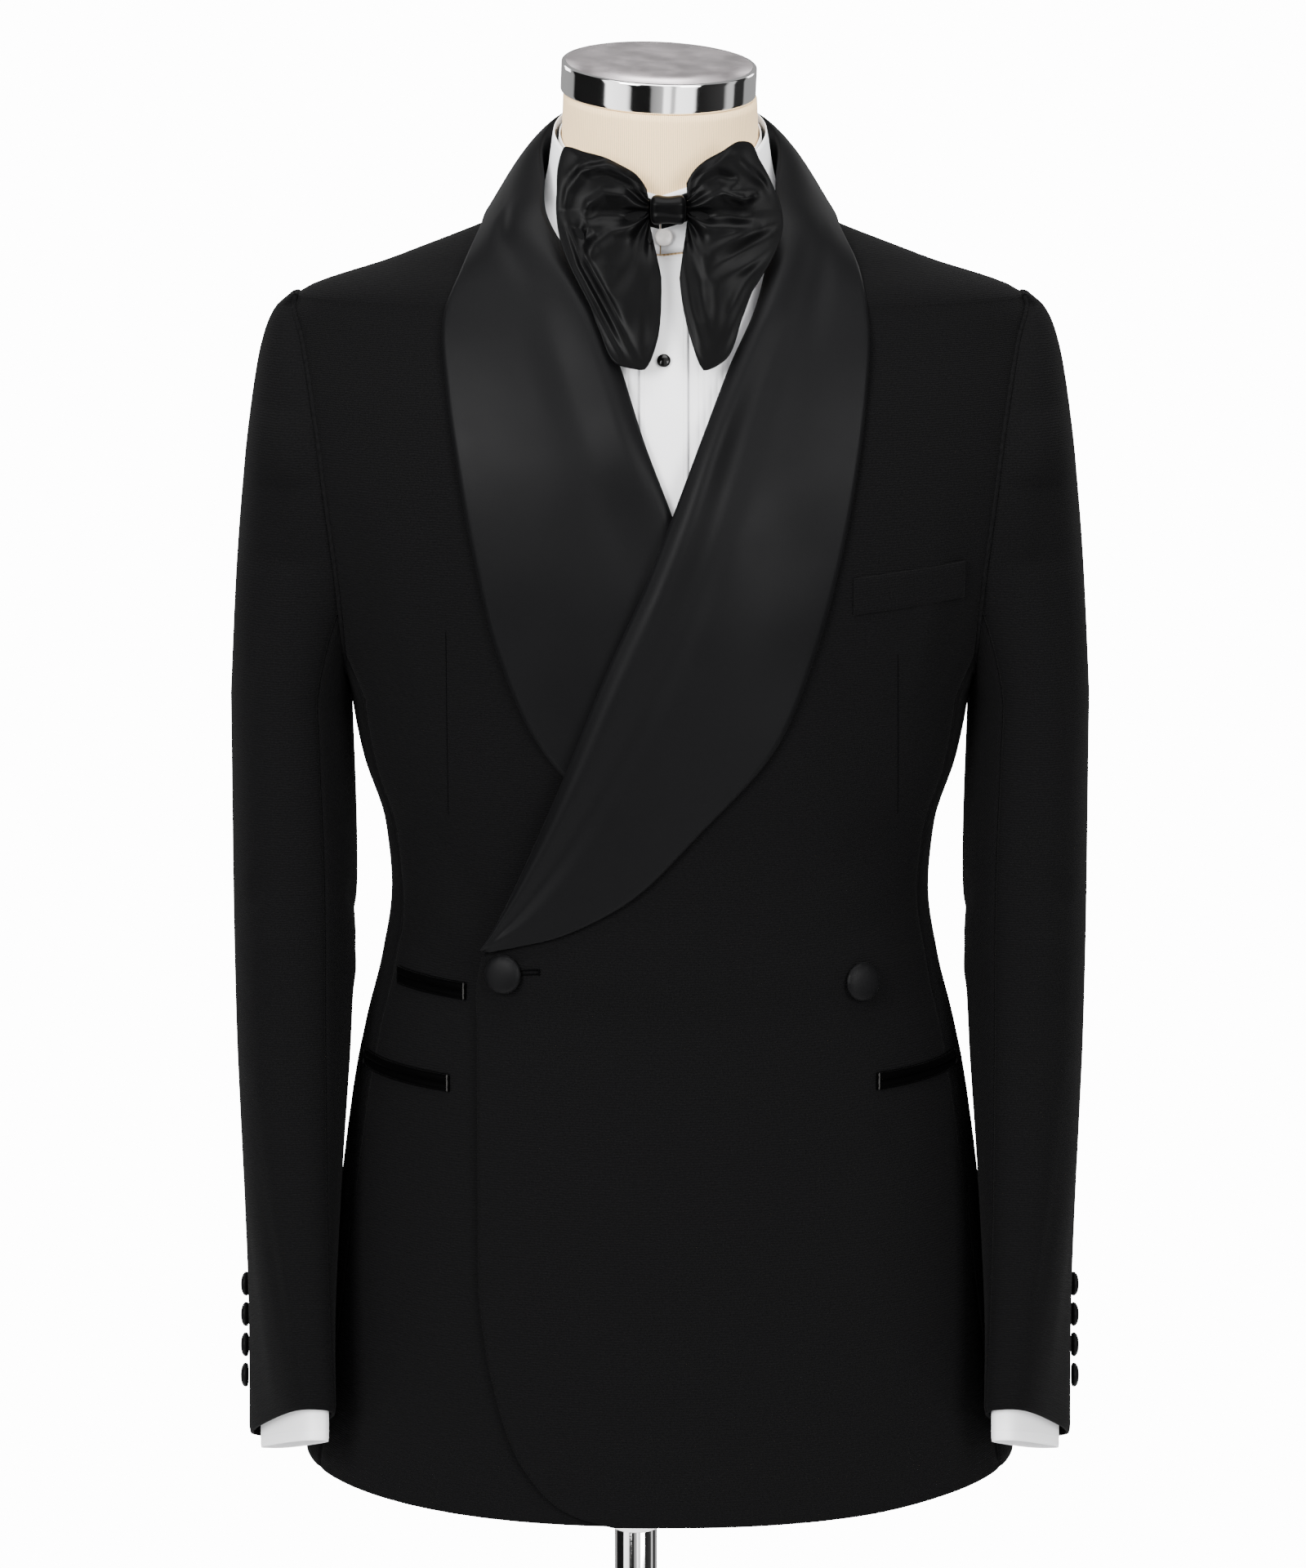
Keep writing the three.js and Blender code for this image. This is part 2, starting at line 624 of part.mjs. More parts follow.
function frontPanel(side) {
  const face = (depth) => frontLevels.map((z) => {
    const behindRoll = ROLL_SETBACK * smooth((z - BUTTON_LINE_Z) / ROLL_SETBACK_HEIGHT);
    const atNeck = NECK_SETBACK * smooth((z - NECK_SETBACK_Z) / NECK_SETBACK_HEIGHT);
    const edgeX = frontEdges[side](z) + behindRoll + atNeck;
    const from = angleAt(z, edgeX);
    const to = Math.max(sideSeamAngle(z) - gapAngle(z), from + 1);
    return steps(0, 1, FRONT_COLUMNS).map((share) => {
      const angle = mix(from, to, share);
      const x = bodySurface(z, angle).x;
      return mirrored(bodyPoint(z, angle, frontRise(side, z, x) - depth), side);
    });
  });
  addPiece(`jacket_front_${sideName(side)}`, wallGeometry(face(0), face(WOOL_WALL)), 'wool');
}

// Jacket side panels, under the arm
const sideLevels = [742, 787, 845, 890, 940, 985, 1022, 1063, 1084, 1104, 1145, 1190];

function sidePanel(side) {
  const angles = steps(FRONT_SEAM_ANGLE, BACK_SEAM_ANGLE, 4);
  const face = (depth) => [...sideLevels, ARMHOLE_LOW_Z].map((level, row) => angles.map((angle, i) => {
    const z = row === sideLevels.length ? armholeFloor(angle) : level;
    const inset = i === 0 ? gapAngle(z) : i === angles.length - 1 ? -gapAngle(z) : 0;
    return mirrored(bodyPoint(z, angle + inset, -depth), side);
  }));
  addPiece(`jacket_side_${sideName(side)}`, wallGeometry(face(0), face(WOOL_WALL)), 'wool');
}

// Jacket backs
const backLevels = [
  742, 787, 845, 890, 940, 985, 1022, 1063, 1084, 1104, 1145, 1190, 1225, 1283, 1343, 1390, 1430, 1450,
  1461.5, 1478, 1494, 1506, 1514,
];

function backSeamAngle(z) {
  if (z > ARMHOLE_TOP_Z) return RIDGE_ANGLE;
  return z > armholeFloor(BACK_SEAM_ANGLE) ? CENTRE_BACK_ANGLE - armholeAngle(z) : BACK_SEAM_ANGLE;
}

function backPanel(side) {
  const face = (depth) => backLevels.map((z) => {
    const from = backSeamAngle(z) + gapAngle(z);
    const to = CENTRE_BACK_ANGLE - gapAngle(z);
    return steps(from, to, 6).map((angle) => mirrored(bodyPoint(z, angle, -depth), side));
  });
  addPiece(`jacket_back_${sideName(side)}`, wallGeometry(face(0), face(WOOL_WALL)), 'wool');
}

// Sleeve section at a height, as half an oval that ends on the armhole at the angle "end". The front
// half has positive angles, measured from the outermost line. The shirt's sleeve is a smaller one.
const jacketFit = { inset: 0, trim: 0, depth: 0, gap: 0.4, taper: 0 };
const shirtFit = {
  inset: SHIRT_SLEEVE_INSET, trim: SHIRT_ARMHOLE_TRIM, depth: SHIRT_DEPTH, gap: 1.3, taper: SHIRT_SLEEVE_TAPER,
};

function sleeveHalf(z, front, fit) {
  const square = sleeve.square(z);
  if (z <= ARMHOLE_LOW_Z + fit.trim) {
    const [thick, deep] = [sleeve.thick(z) - fit.inset, sleeve.deep(z) - fit.inset];
    return { x: sleeve.x(z), thick, deep, end: 180, square };
  }
  const level = Math.min(z, SLEEVE_HEAD_TURN_Z - fit.trim);
  const angle = armholeAngle(level, fit.trim);
  const seam = bodySurface(level, front ? angle : CENTRE_BACK_ANGLE - angle);
  const open = Math.max(Math.abs(seam.y) - fit.depth, 1);
  const taper = fit.taper * smooth((z - ARMHOLE_LOW_Z) / SHIRT_SLEEVE_TAPER_HEIGHT);
  const narrowed = sleeve.deep(z) - fit.inset - taper;
  const deep = z < ARMHOLE_MID_Z ? Math.max(narrowed, open) : open;
  const end = 180 - Math.asin((open / deep) ** (square / 2)) / radians(1);
  const outer = headX(z + fit.inset * 0.5) - fit.inset;
  const inner = (fit.trim ? seam.x - fit.depth : body.width(z)) + fit.gap;
  const thick = (outer - inner) / (1 + Math.abs(Math.cos(radians(end))) ** (2 / square));
  return { x: outer - thick, thick, deep, end, square };
}

function sleevePoint(z, angle, fit = jacketFit) {
  const half = sleeveHalf(z, angle > 0, fit);
  const t = radians(angle);
  const x = half.thick * signedPower(Math.cos(t), 2 / half.square);
  const y = -half.deep * signedPower(Math.sin(t), 2 / half.square);
  const turn = radians(sleeve.turn(z));
  const turnedX = x * Math.cos(turn) + y * Math.sin(turn);
  const turnedY = y * Math.cos(turn) - x * Math.sin(turn);
  return new THREE.Vector3(half.x + turnedX, sleeve.y(z) + turnedY, z - sleeve.slope(z) * turnedY);
}

// A point of the sleeve moved out along its surface normal
function sleeveSkin(z, angle, out) {
  const point = sleevePoint(z, angle);
  const round = sleevePoint(z, angle + 0.5).sub(sleevePoint(z, angle - 0.5));
  const up = sleevePoint(z + 0.5, angle).sub(sleevePoint(z - 0.5, angle));
  return point.addScaledVector(up.cross(round).normalize(), out);
}

const upperLevels = [
  780, 815, 860, 915, 980, 1050, 1120, 1180, 1225, 1255, 1290, 1343, 1390, 1425, 1444, 1456, SLEEVE_HEAD_Z,
];
const underLevels = upperLevels.slice(0, 8);

function upperSleeve(side) {
  const face = (depth) => upperLevels.map((z) => {
    const front = Math.min(SLEEVE_SEAM_ANGLE, sleeveHalf(z, true, jacketFit).end);
    const back = Math.min(SLEEVE_SEAM_ANGLE, sleeveHalf(z, false, jacketFit).end);
    return steps(-1, 1, 10).map((share) => (
      mirrored(sleeveSkin(z, share * (share > 0 ? front : back), -depth), side)
    ));
  });
  addPiece(`sleeve_upper_${sideName(side)}`, wallGeometry(face(0), face(WOOL_WALL)), 'wool');
}

// The height where the sleeve section's end passes an angle, so the under sleeve meets the armhole
function underSleeveTop(angle) {
  const front = angle < 180;
  const target = front ? angle : 360 - angle;
  let low = ARMHOLE_LOW_Z;
  let high = ARMHOLE_MID_Z;
  for (let i = 0; i < 30; i += 1) {
    const middle = (low + high) / 2;
    if (sleeveHalf(middle, front, jacketFit).end > target) low = middle;
    else high = middle;
  }
  return low;
}

function underSleeve(side) {
  const seam = 0.7;
  const angles = steps(SLEEVE_SEAM_ANGLE + seam, 360 - SLEEVE_SEAM_ANGLE - seam, 6);
  const lastLevel = underLevels[underLevels.length - 1];
  const face = (depth) => [...underLevels, 0.5, 1].map((level) => angles.map((angle) => {
    const z = level > 1 ? level : mix(lastLevel, underSleeveTop(angle), level);
    return mirrored(sleeveSkin(z, angle <= 180 ? angle : angle - 360, -depth), side);
  }));
  addPiece(`sleeve_under_${sideName(side)}`, wallGeometry(face(0), face(WOOL_WALL)), 'wool');
}

// Shawl collar: one half from the button to the centre back, folded over at the roll line
const SHAWL_STATIONS = 28;

function lapelSection(side, row) {
  const rise = (x, z) => frontRise(side, z, x);
  const roll = (x, z, out) => bodyPoint(z, angleAt(z, x), rise(x, z) + out);
  const shown = side > 0 ? 1 : smooth((row.rollZ - SHAWL_SHOWN_Z) / SHAWL_SHOWN_HEIGHT);
  const lip = [roll(row.rollX + 0.6, row.rollZ, -WOOL_WALL), roll(row.rollX, row.rollZ, -0.6)];
  const fall = shawlRise.map(({ across, rise: up }) => {
    const x = mix(row.rollX, row.edgeX, across);
    const z = mix(row.rollZ, row.edgeZ, across);
    const out = across === 0 ? up : mix(Math.min(up, SHAWL_FLAT_RISE), up, shown);
    return roll(x, z, out);
  });
  return [...lip, ...fall];
}

function collarSection(row) {
  const seam = new THREE.Vector3(...row.seam);
  const fold = new THREE.Vector3(...row.fold);
  const edge = new THREE.Vector3(...row.edge);
  const radial = new THREE.Vector3(edge.x, edge.y, 0).normalize();
  const stand = [seam, seam.clone().lerp(fold, 0.55)];
  const fall = shawlRise.map(({ across }) => {
    const bulge = COLLAR_FALL_BULGE * Math.sin(Math.PI * across ** 0.5);
    return fold.clone().lerp(edge, across).addScaledVector(radial, bulge);
  });
  return [...stand, ...fall];
}

function shawlHalf(side) {
  const table = side > 0 ? leftShawl : rightShawl;
  const sections = [...table.map((row) => lapelSection(side, row)), ...collarSections.map(collarSection)];
  const columns = sections[0].map((_, j) => {
    const path = new THREE.CatmullRomCurve3(sections.map((section) => section[j]), false, 'centripetal');
    return steps(0, 1, SHAWL_STATIONS).map((share) => path.getPoint(share));
  });
  const grid = columns[0].map((_, i) => columns.map((column) => column[i]));
  const under = movedIn(grid, SATIN_WALL, new THREE.Vector3(0, -1, 0));
  [grid, under].forEach((face) => face[SHAWL_STATIONS].forEach((point) => point.setX(SEAM_GAP / 2)));
  addPiece(`shawl_collar_${sideName(side)}`,
    wallGeometry(mirroredGrid(grid, side), mirroredGrid(under, side)), 'satin');
}

// Pocket edges lie on the panels: two satin jets with the slit between them, or a plain welt
function pocket({ name, side, frontX, frontZ, backX, backZ, half, plain }) {
  const profile = plain ? weltProfile : jetProfile;
  const face = (lift) => profile.map(({ up, rise }) => steps(0, 1, 6).map((along) => {
    const x = mix(frontX, backX, along);
    const z = mix(frontZ, backZ, along) + up * half;
    return mirrored(bodyPoint(z, angleAt(z, x), frontRise(side, z, x) + CLOTH_GAP + lift * rise), side);
  }));
  addPiece(name, wallGeometry(face(1), face(0)), plain ? 'wool' : 'satin');
}

// Domed button, turned so that its back faces the cloth
function button(name, radius, depth, at, outward, finish, segments = 14) {
  const profile = [
    new THREE.Vector2(0, 0),
    new THREE.Vector2(radius * 0.8, 0),
    new THREE.Vector2(radius, depth * 0.4),
    new THREE.Vector2(radius * 0.8, depth * 0.85),
    new THREE.Vector2(0, depth),
  ];
  const geometry = new THREE.LatheGeometry(profile, segments);
  geometry.applyQuaternion(new THREE.Quaternion().setFromUnitVectors(new THREE.Vector3(0, 1, 0), outward));
  geometry.translate(at.x, at.y, at.z);
  addPiece(name, geometry, finish);
}

function frontButton({ name, side, x, z }) {
  const rise = frontRise(1, z, side * x) + SEAM_GAP;
  const base = bodyPoint(z, side * angleAt(z, x), rise);
  const outward = bodyPoint(z, side * angleAt(z, x), rise + 1).sub(base).normalize();
  button(name, BUTTON_RADIUS, BUTTON_DEPTH, base, outward, 'satin', 18);
}

function cuffButtons(side) {
  for (let i = 0; i < CUFF_BUTTON_COUNT; i += 1) {
    const z = CUFF_BUTTON_LOW_Z + i * CUFF_BUTTON_STEP;
    const at = sleevePoint(z, CUFF_BUTTON_ANGLE);
    const round = sleevePoint(z, CUFF_BUTTON_ANGLE + 1).sub(sleevePoint(z, CUFF_BUTTON_ANGLE - 1));
    const up = sleevePoint(z + 1, CUFF_BUTTON_ANGLE).sub(sleevePoint(z - 1, CUFF_BUTTON_ANGLE));
    const outward = up.cross(round).normalize();
    if (outward.x < 0) outward.negate();
    at.addScaledVector(outward, SEAM_GAP);
    button(`cuff_button_${sideName(side)}_${i + 1}`, CUFF_BUTTON_RADIUS, CUFF_BUTTON_DEPTH,
      mirrored(at, side), mirrored(outward, side), 'satin', 10);
  }
}

// Shirt body: inside the jacket, on the form. Above the yoke line it runs up to the collar band.
const shirtLevels = [SHIRT_HEM_Z, 890, 985, 1045, 1104, 1165, 1236, 1300, 1343, 1390, 1430, YOKE_Z];
const yokeRows = [
  { share: 0.3, toNeck: 0 },
  { share: 0.6, toNeck: 0 },
  { share: 0.85, toNeck: 0.3 },
  { share: 1, toNeck: 1 },
];

function yokePoint({ share, toNeck }, angleOf, neckAngle, out) {
  const turn = Math.min(Math.abs(neckAngle), 360 - Math.abs(neckAngle));
  const neckZ = shirtCollarAt.bandLow(turn) - YOKE_GAP;
  const z = mix(YOKE_Z, Math.min(neckZ, YOKE_TOP_Z), share);
  const neck = neckPoint(neckAngle, neckZ, YOKE_NECK_OUT + out);
  return bodyPoint(z, angleOf(z), out - SHIRT_DEPTH).lerp(neck, toNeck);
}

const neckAngleAt = (x) => Math.asin(Math.max(-1, Math.min(1, x / NECK_HALF_WIDTH))) / radians(1);

function shirtSideAngle(z) {
  return armholeAngle(z, SHIRT_ARMHOLE_TRIM);
}

// Shirt fronts, with pleats raised on the outer face beside the placket
function shirtFront(side) {
  const face = (depth) => {
    const marks = [{ across: SEAM_GAP, rise: 0 }];
    for (let i = 0; i < PLEAT_COUNT; i += 1) {
      const start = PLEAT_START + i * PLEAT_PITCH;
      marks.push({ across: start, rise: 0 });
      marks.push({ across: start + PLEAT_PITCH * 0.9, rise: depth ? 0 : PLEAT_RISE });
    }
    const pleatEnd = PLEAT_START + PLEAT_PITCH * PLEAT_COUNT;
    const bodyAngles = (z) => {
      const from = Math.abs(angleAt(z, PLACKET_X + side * pleatEnd));
      return steps(from, Math.max(shirtSideAngle(z) - gapAngle(z), from + 1), 3).map((t) => t * side);
    };
    const neckAngles = steps(Math.abs(neckAngleAt(pleatEnd)), 90 - gapAngle(YOKE_Z), 3).map((t) => t * side);
    const rows = shirtLevels.map((z) => [
      ...marks.map((mark) => (
        bodyPoint(z, angleAt(z, PLACKET_X + side * mark.across), mark.rise - SHIRT_DEPTH - depth)
      )),
      ...bodyAngles(z).map((angle) => bodyPoint(z, angle, -SHIRT_DEPTH - depth)),
    ]);
    const yoke = yokeRows.map((row) => [
      ...marks.map(({ across, rise }) => {
        const x = PLACKET_X + side * across;
        return yokePoint(row, (z) => angleAt(z, x), neckAngleAt(x), rise * (1 - row.toNeck) - depth);
      }),
      ...neckAngles.map((angle, i) => yokePoint(row, (z) => bodyAngles(z)[i], angle, -depth)),
    ]);
    return [...rows, ...yoke];
  };
  addPiece(`shirt_front_${sideName(side)}`, wallGeometry(face(0), face(SHIRT_WALL)), 'shirting');
}

function shirtBack() {
  const angles = (z) => {
    const from = CENTRE_BACK_ANGLE - shirtSideAngle(z) + gapAngle(z);
    return steps(from, 360 - from, 8);
  };
  const face = (depth) => [
    ...shirtLevels.map((z) => angles(z).map((angle) => bodyPoint(z, angle, -SHIRT_DEPTH - depth))),
    ...yokeRows.map((row) => angles(YOKE_Z).map((angle) => yokePoint(row, () => angle, angle, -depth))),
  ];
  addPiece('shirt_back', wallGeometry(face(0), face(SHIRT_WALL)), 'shirting');
}

function shirtPlacket() {
  const edges = [PLACKET_X - PLACKET_HALF_WIDTH, PLACKET_X + PLACKET_HALF_WIDTH];
  const face = (depth) => [
    ...shirtLevels.map((z) => edges.map((x) => (
      bodyPoint(z, angleAt(z, x), PLACKET_RISE - SHIRT_DEPTH - depth)
    ))),
    ...yokeRows.map((row) => edges.map((x) => (
      yokePoint(row, (z) => angleAt(z, x), neckAngleAt(x), PLACKET_RISE - depth)
    ))),
  ];
  addPiece('shirt_placket', wallGeometry(face(0), face(SHIRT_WALL)), 'shirting');
}

// Ring round the neck at an angle from the centre front
function neckPoint(angle, z, out) {
  const t = radians(angle);
  const depth = Math.cos(t) > 0 ? form.front(z) : form.back(z);
  return new THREE.Vector3((form.width(z) + out) * Math.sin(t), -(depth + out) * Math.cos(t), z);
}

const NECK_SEGMENTS = 22;

// Strip round the neck from one angle to another. "low" and "high" give heights, "out" the stand-off.
function neckStrip(start, rows, low, high, out, thickness) {
  const face = (depth) => steps(0, 1, rows).map((share) => (
    steps(start, 360 - start, NECK_SEGMENTS).map((angle) => {
      const turn = Math.min(angle, 360 - angle);
      const z = mix(low(turn), high(turn), share);
      return neckPoint(angle, z, out(turn, share) + thickness - depth);
    })
  ));
  return wallGeometry(face(0), face(thickness));
}

function shirtCollarPieces() {
  const { bandLow, top, leafLow } = shirtCollarAt;
  const leafOut = (turn, share) => COLLAR_LEAF_OUT + COLLAR_LEAF_SPREAD * (1 - share);
  addPiece('shirt_collar_band',
    neckStrip(0.2, 3, bandLow, (turn) => top(turn) - 1.5, () => COLLAR_BAND_OUT, SHIRT_WALL), 'shirting');
  addPiece('shirt_collar_leaf',
    neckStrip(COLLAR_LEAF_START, 3, leafLow, top, leafOut, SHIRT_WALL), 'shirting');
  const strapLow = (turn) => top(turn) - BOW_STRAP_DROP - BOW_STRAP_HEIGHT;
  const towardsKnot = (turn) => Math.max(0, Math.cos(radians(turn))) ** BOW_STRAP_SHARPNESS;
  const strapOut = (turn) => BOW_STRAP_OUT + BOW_STRAP_REACH * towardsKnot(turn);
  addPiece('bow_strap', neckStrip(0.4, 1, strapLow, (turn) => top(turn) - BOW_STRAP_DROP, strapOut, SHIRT_WALL),
    'satin');
}

// Shirt sleeves inside the jacket's, open along the underarm seam, and the cuffs below them
const shirtSleeveLevels = [
  SHIRT_SLEEVE_LOW_Z, 885, 950, 1035, 1117, 1190, 1232, 1245, 1275, 1343, 1400, 1430, 1446,
];

function shirtSleeve(side) {
  const grid = shirtSleeveLevels.map((z) => {
    const front = Math.min(179.6, sleeveHalf(z, true, shirtFit).end);
    const back = Math.min(179.6, sleeveHalf(z, false, shirtFit).end);
    return steps(-1, 1, 12).map((share) => {
      const angle = share * (share > 0 ? front : back);
      return mirrored(sleevePoint(z, angle, shirtFit), side);
    });
  });
  const inner = movedIn(grid, SHIRT_WALL, new THREE.Vector3(side, 0, 0));
  addPiece(`shirt_sleeve_${sideName(side)}`, wallGeometry(grid, inner), 'shirting');
}

function cuffPoint(z, angle, inset) {
  const level = Math.max(z, upperLevels[0]);
  const point = sleevePoint(level, angle, { ...jacketFit, inset });
  const across = point.y - sleeve.y(level);
  const drift = (level - z) * 0.25;
  return new THREE.Vector3(point.x + CUFF_SHIFT, point.y - drift + CUFF_SHIFT, z - CUFF_SLOPE * across);
}

function shirtCuff(side) {
  const levels = [CUFF_LOW_Z, 785, CUFF_HIGH_Z];
  const angles = steps(180, -180, 18).slice(0, 18);
  const ring = (inset) => levels.map((z) => angles.map((angle) => mirrored(cuffPoint(z, angle, inset), side)));
  addPiece(`shirt_cuff_${sideName(side)}`,
    tubeGeometry(ring(CUFF_INSET), ring(CUFF_INSET + SHIRT_WALL * 1.4)), 'shirting');
}

// Bow tie wings: fans of cloth gathered at the knot, with folds that open outwards
function bowWing(side) {
  const table = side > 0 ? bowLeftWing : bowRightWing;
  const grid = table.map(({ angle, reach }, ray) => steps(0, 1, 4).map((share) => {
    const t = radians(angle);
    const x = side * mix(KNOT_HALF_WIDTH + 0.8, KNOT_HALF_WIDTH - 2 + reach * Math.cos(t), share);
    const z = mix(KNOT_HALF_HEIGHT * 0.7, reach, share) * Math.sin(t);
    const wave = Math.sin(2 * Math.PI * BOW_FOLDS * ray / (table.length - 1));
    const fold = BOW_FOLD_DEPTH * wave * Math.sin(Math.PI * Math.min(share, 0.8));
    const lean = BOW_LEAN * Math.min(z, 0) + 0.3 * BOW_LEAN * Math.max(z, 0);
    return new THREE.Vector3(BOW_X + x, BOW_Y + lean + fold, BOW_Z + z);
  }));
  const back = movedIn(grid, BOW_WALL, new THREE.Vector3(0, -1, 0));
  addPiece(`bow_wing_${sideName(side)}`, wallGeometry(grid, back), 'satin');
}

function bowKnot() {
  const geometry = new THREE.SphereGeometry(1, 12, 8);
  const position = geometry.attributes.position;
  for (let i = 0; i < position.count; i += 1) {
    const boxy = (value) => signedPower(value, 0.7);
    position.setXYZ(i, KNOT_HALF_WIDTH * boxy(position.getX(i)), KNOT_HALF_DEPTH * boxy(position.getY(i)),
      KNOT_HALF_HEIGHT * boxy(position.getZ(i)));
  }
  geometry.translate(BOW_X, BOW_Y - 1, BOW_Z);
  addPiece('bow_knot', geometry, 'satin');
}

// Form, its neck cap, and the stand
const capTilt = new THREE.Euler(radians(CAP_PITCH), radians(CAP_ROLL), 0);

function formTorso() {
  const levels = [...formSections.map((row) => row.z), ...neckRootLevels].sort((a, b) => a - b);
  const rings = levels.map((z) => steps(0, 360, NECK_SEGMENTS).slice(0, NECK_SEGMENTS).map((angle) => {
    const t = radians(angle);
    const power = 2 / form.square(z);
    const depth = Math.cos(t) > 0 ? form.front(z) : form.back(z);
    const x = form.width(z) * signedPower(Math.sin(t), power);
    const y = -depth * signedPower(Math.cos(t), power);
    const tilt = smooth((z - NECK_TILT_Z) / (levels[levels.length - 1] - NECK_TILT_Z));
    const lift = tilt * (Math.tan(capTilt.x) * y - Math.tan(capTilt.y) * x);
    return new THREE.Vector3(x, y, z + lift);
  }));
  addPiece('form_torso', solidGeometry(rings), 'cover');
}

function neckCap() {
  const profile = [
    new THREE.Vector2(0, -CAP_HEIGHT),
    new THREE.Vector2(CAP_RADIUS - CAP_EDGE, -CAP_HEIGHT),
    new THREE.Vector2(CAP_RADIUS, -CAP_HEIGHT + CAP_EDGE),
    new THREE.Vector2(CAP_RADIUS, -CAP_EDGE),
    new THREE.Vector2(CAP_RADIUS - CAP_EDGE, 0),
    new THREE.Vector2(0, 0),
  ];
  const geometry = new THREE.LatheGeometry(profile, 32);
  geometry.rotateX(Math.PI / 2);
  geometry.rotateY(capTilt.y);
  geometry.rotateX(capTilt.x);
  geometry.translate(CAP_X, 0, CAP_TOP_Z);
  addPiece('form_neck_cap', geometry, 'steel');
}

function lathePiece(name, profile, x, finish, segments) {
  const geometry = new THREE.LatheGeometry(profile.map(([r, z]) => new THREE.Vector2(r, z)), segments);
  geometry.rotateX(Math.PI / 2);
  geometry.translate(x, 0, 0);
  addPiece(name, geometry, finish);
}

function stand() {
  const formFloor = formSections[0].z;
  const poleTop = formFloor - SEAM_GAP;
  const poleFoot = BASE_THICKNESS + HUB_HEIGHT + SEAM_GAP;
  const collarLow = poleTop - POLE_COLLAR_HEIGHT;
  const inner = POLE_RADIUS + SEAM_GAP;
  lathePiece('stand_pole', [[0, poleFoot], [POLE_RADIUS, poleFoot], [POLE_RADIUS, poleTop], [0, poleTop]],
    POLE_X, 'steel', 20);
  lathePiece('stand_collar', [[inner, collarLow], [POLE_COLLAR_RADIUS, collarLow],
    [POLE_COLLAR_RADIUS, poleTop], [inner, poleTop], [inner, collarLow]], POLE_X, 'steel', 20);
  lathePiece('stand_base', [[0, 0], [BASE_RADIUS - 2, 0], [BASE_RADIUS, 2], [BASE_RADIUS, BASE_THICKNESS - 3],
    [BASE_RADIUS - 4, BASE_THICKNESS], [HUB_RADIUS + 4, BASE_THICKNESS + 3], [HUB_RADIUS, BASE_THICKNESS + 7],
    [POLE_RADIUS + 4, BASE_THICKNESS + HUB_HEIGHT], [0, BASE_THICKNESS + HUB_HEIGHT]], 0, 'steel', 32);
}

stand();
formTorso();
neckCap();
for (const side of [1, -1]) {
  frontPanel(side);
  sidePanel(side);
  backPanel(side);
  upperSleeve(side);
  underSleeve(side);
  shawlHalf(side);
  cuffButtons(side);
  shirtFront(side);
  shirtSleeve(side);
  shirtCuff(side);
  bowWing(side);
}
pockets.forEach(pocket);
frontButtons.forEach(frontButton);
shirtBack();
shirtPlacket();
shirtCollarPieces();
bowKnot();

const studAngle = angleAt(STUD_Z, PLACKET_X);
const studBase = bodyPoint(STUD_Z, studAngle, PLACKET_RISE - SHIRT_DEPTH + SEAM_GAP);
const studOutward = bodyPoint(STUD_Z, studAngle, 1).sub(bodyPoint(STUD_Z, studAngle)).normalize();
button('shirt_stud', STUD_RADIUS, STUD_DEPTH, studBase, studOutward, 'onyx', 12);
const collarButtonOut = COLLAR_BAND_OUT + SHIRT_WALL + CLOTH_GAP * 3;
const collarButtonBase = neckPoint(0, COLLAR_BUTTON_Z, collarButtonOut).setX(PLACKET_X);
button('shirt_collar_button', COLLAR_BUTTON_RADIUS, SMALL_BUTTON_DEPTH, collarButtonBase,
  new THREE.Vector3(0, -1, 0), 'pearl', 12);

export default tuxedo;
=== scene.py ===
"""A double-breasted shawl-collar dinner jacket, pleated shirt and bow tie on a limbless dress form.

The forms are worked out in millimetres and become metres when a mesh is made. X is the wearer's
left, the wearer faces -Y, and Z is up from the floor.
"""
import math

import bpy
import numpy as np
from mathutils import Euler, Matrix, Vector


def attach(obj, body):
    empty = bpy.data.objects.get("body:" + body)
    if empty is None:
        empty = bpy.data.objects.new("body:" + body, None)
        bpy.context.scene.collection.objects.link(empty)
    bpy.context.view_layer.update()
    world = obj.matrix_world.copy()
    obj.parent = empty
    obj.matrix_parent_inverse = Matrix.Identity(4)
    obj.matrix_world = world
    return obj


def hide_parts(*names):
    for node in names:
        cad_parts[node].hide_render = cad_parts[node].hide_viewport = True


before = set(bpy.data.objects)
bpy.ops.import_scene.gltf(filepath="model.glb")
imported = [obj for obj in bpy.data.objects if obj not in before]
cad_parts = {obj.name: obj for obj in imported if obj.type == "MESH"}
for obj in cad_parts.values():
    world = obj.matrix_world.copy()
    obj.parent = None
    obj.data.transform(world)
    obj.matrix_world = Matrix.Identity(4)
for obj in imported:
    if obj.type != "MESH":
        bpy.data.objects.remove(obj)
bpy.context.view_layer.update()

# Walls of the cloths, how far the shirt lies under the jacket's face, and the gap between pieces
WOOL, SATIN, COTTON = 2.0, 1.6, 1.0
SHIRT_DEPTH, SEAM = 6.0, 0.3
# Heights of the jacket's hem, the sleeve's hem and the panels' top, and of the armhole and sleeve head
HEM_Z, SLEEVE_HEM, PANEL_TOP = 742.0, 780.0, 1514.0
ARM_LOW, ARM_TOP, HEAD_Z, HEAD_TURN = 1225.0, 1462.0, 1464.0, 1458.0
ARM_MID, ARM_HALF = (ARM_LOW + ARM_TOP) / 2, (ARM_TOP - ARM_LOW) / 2
# The armhole's half width as a share of the body's depth, which is about BODY_DEPTH there
ARM_SHARE, BODY_DEPTH, SHIRT_TRIM = 0.6, 125.0, 11.0
# Seams, in degrees round the body from the front and round a sleeve from its outermost line
FRONT_SEAM, BACK_SEAM, SLEEVE_SEAM = 70.0, 118.0, 120.0
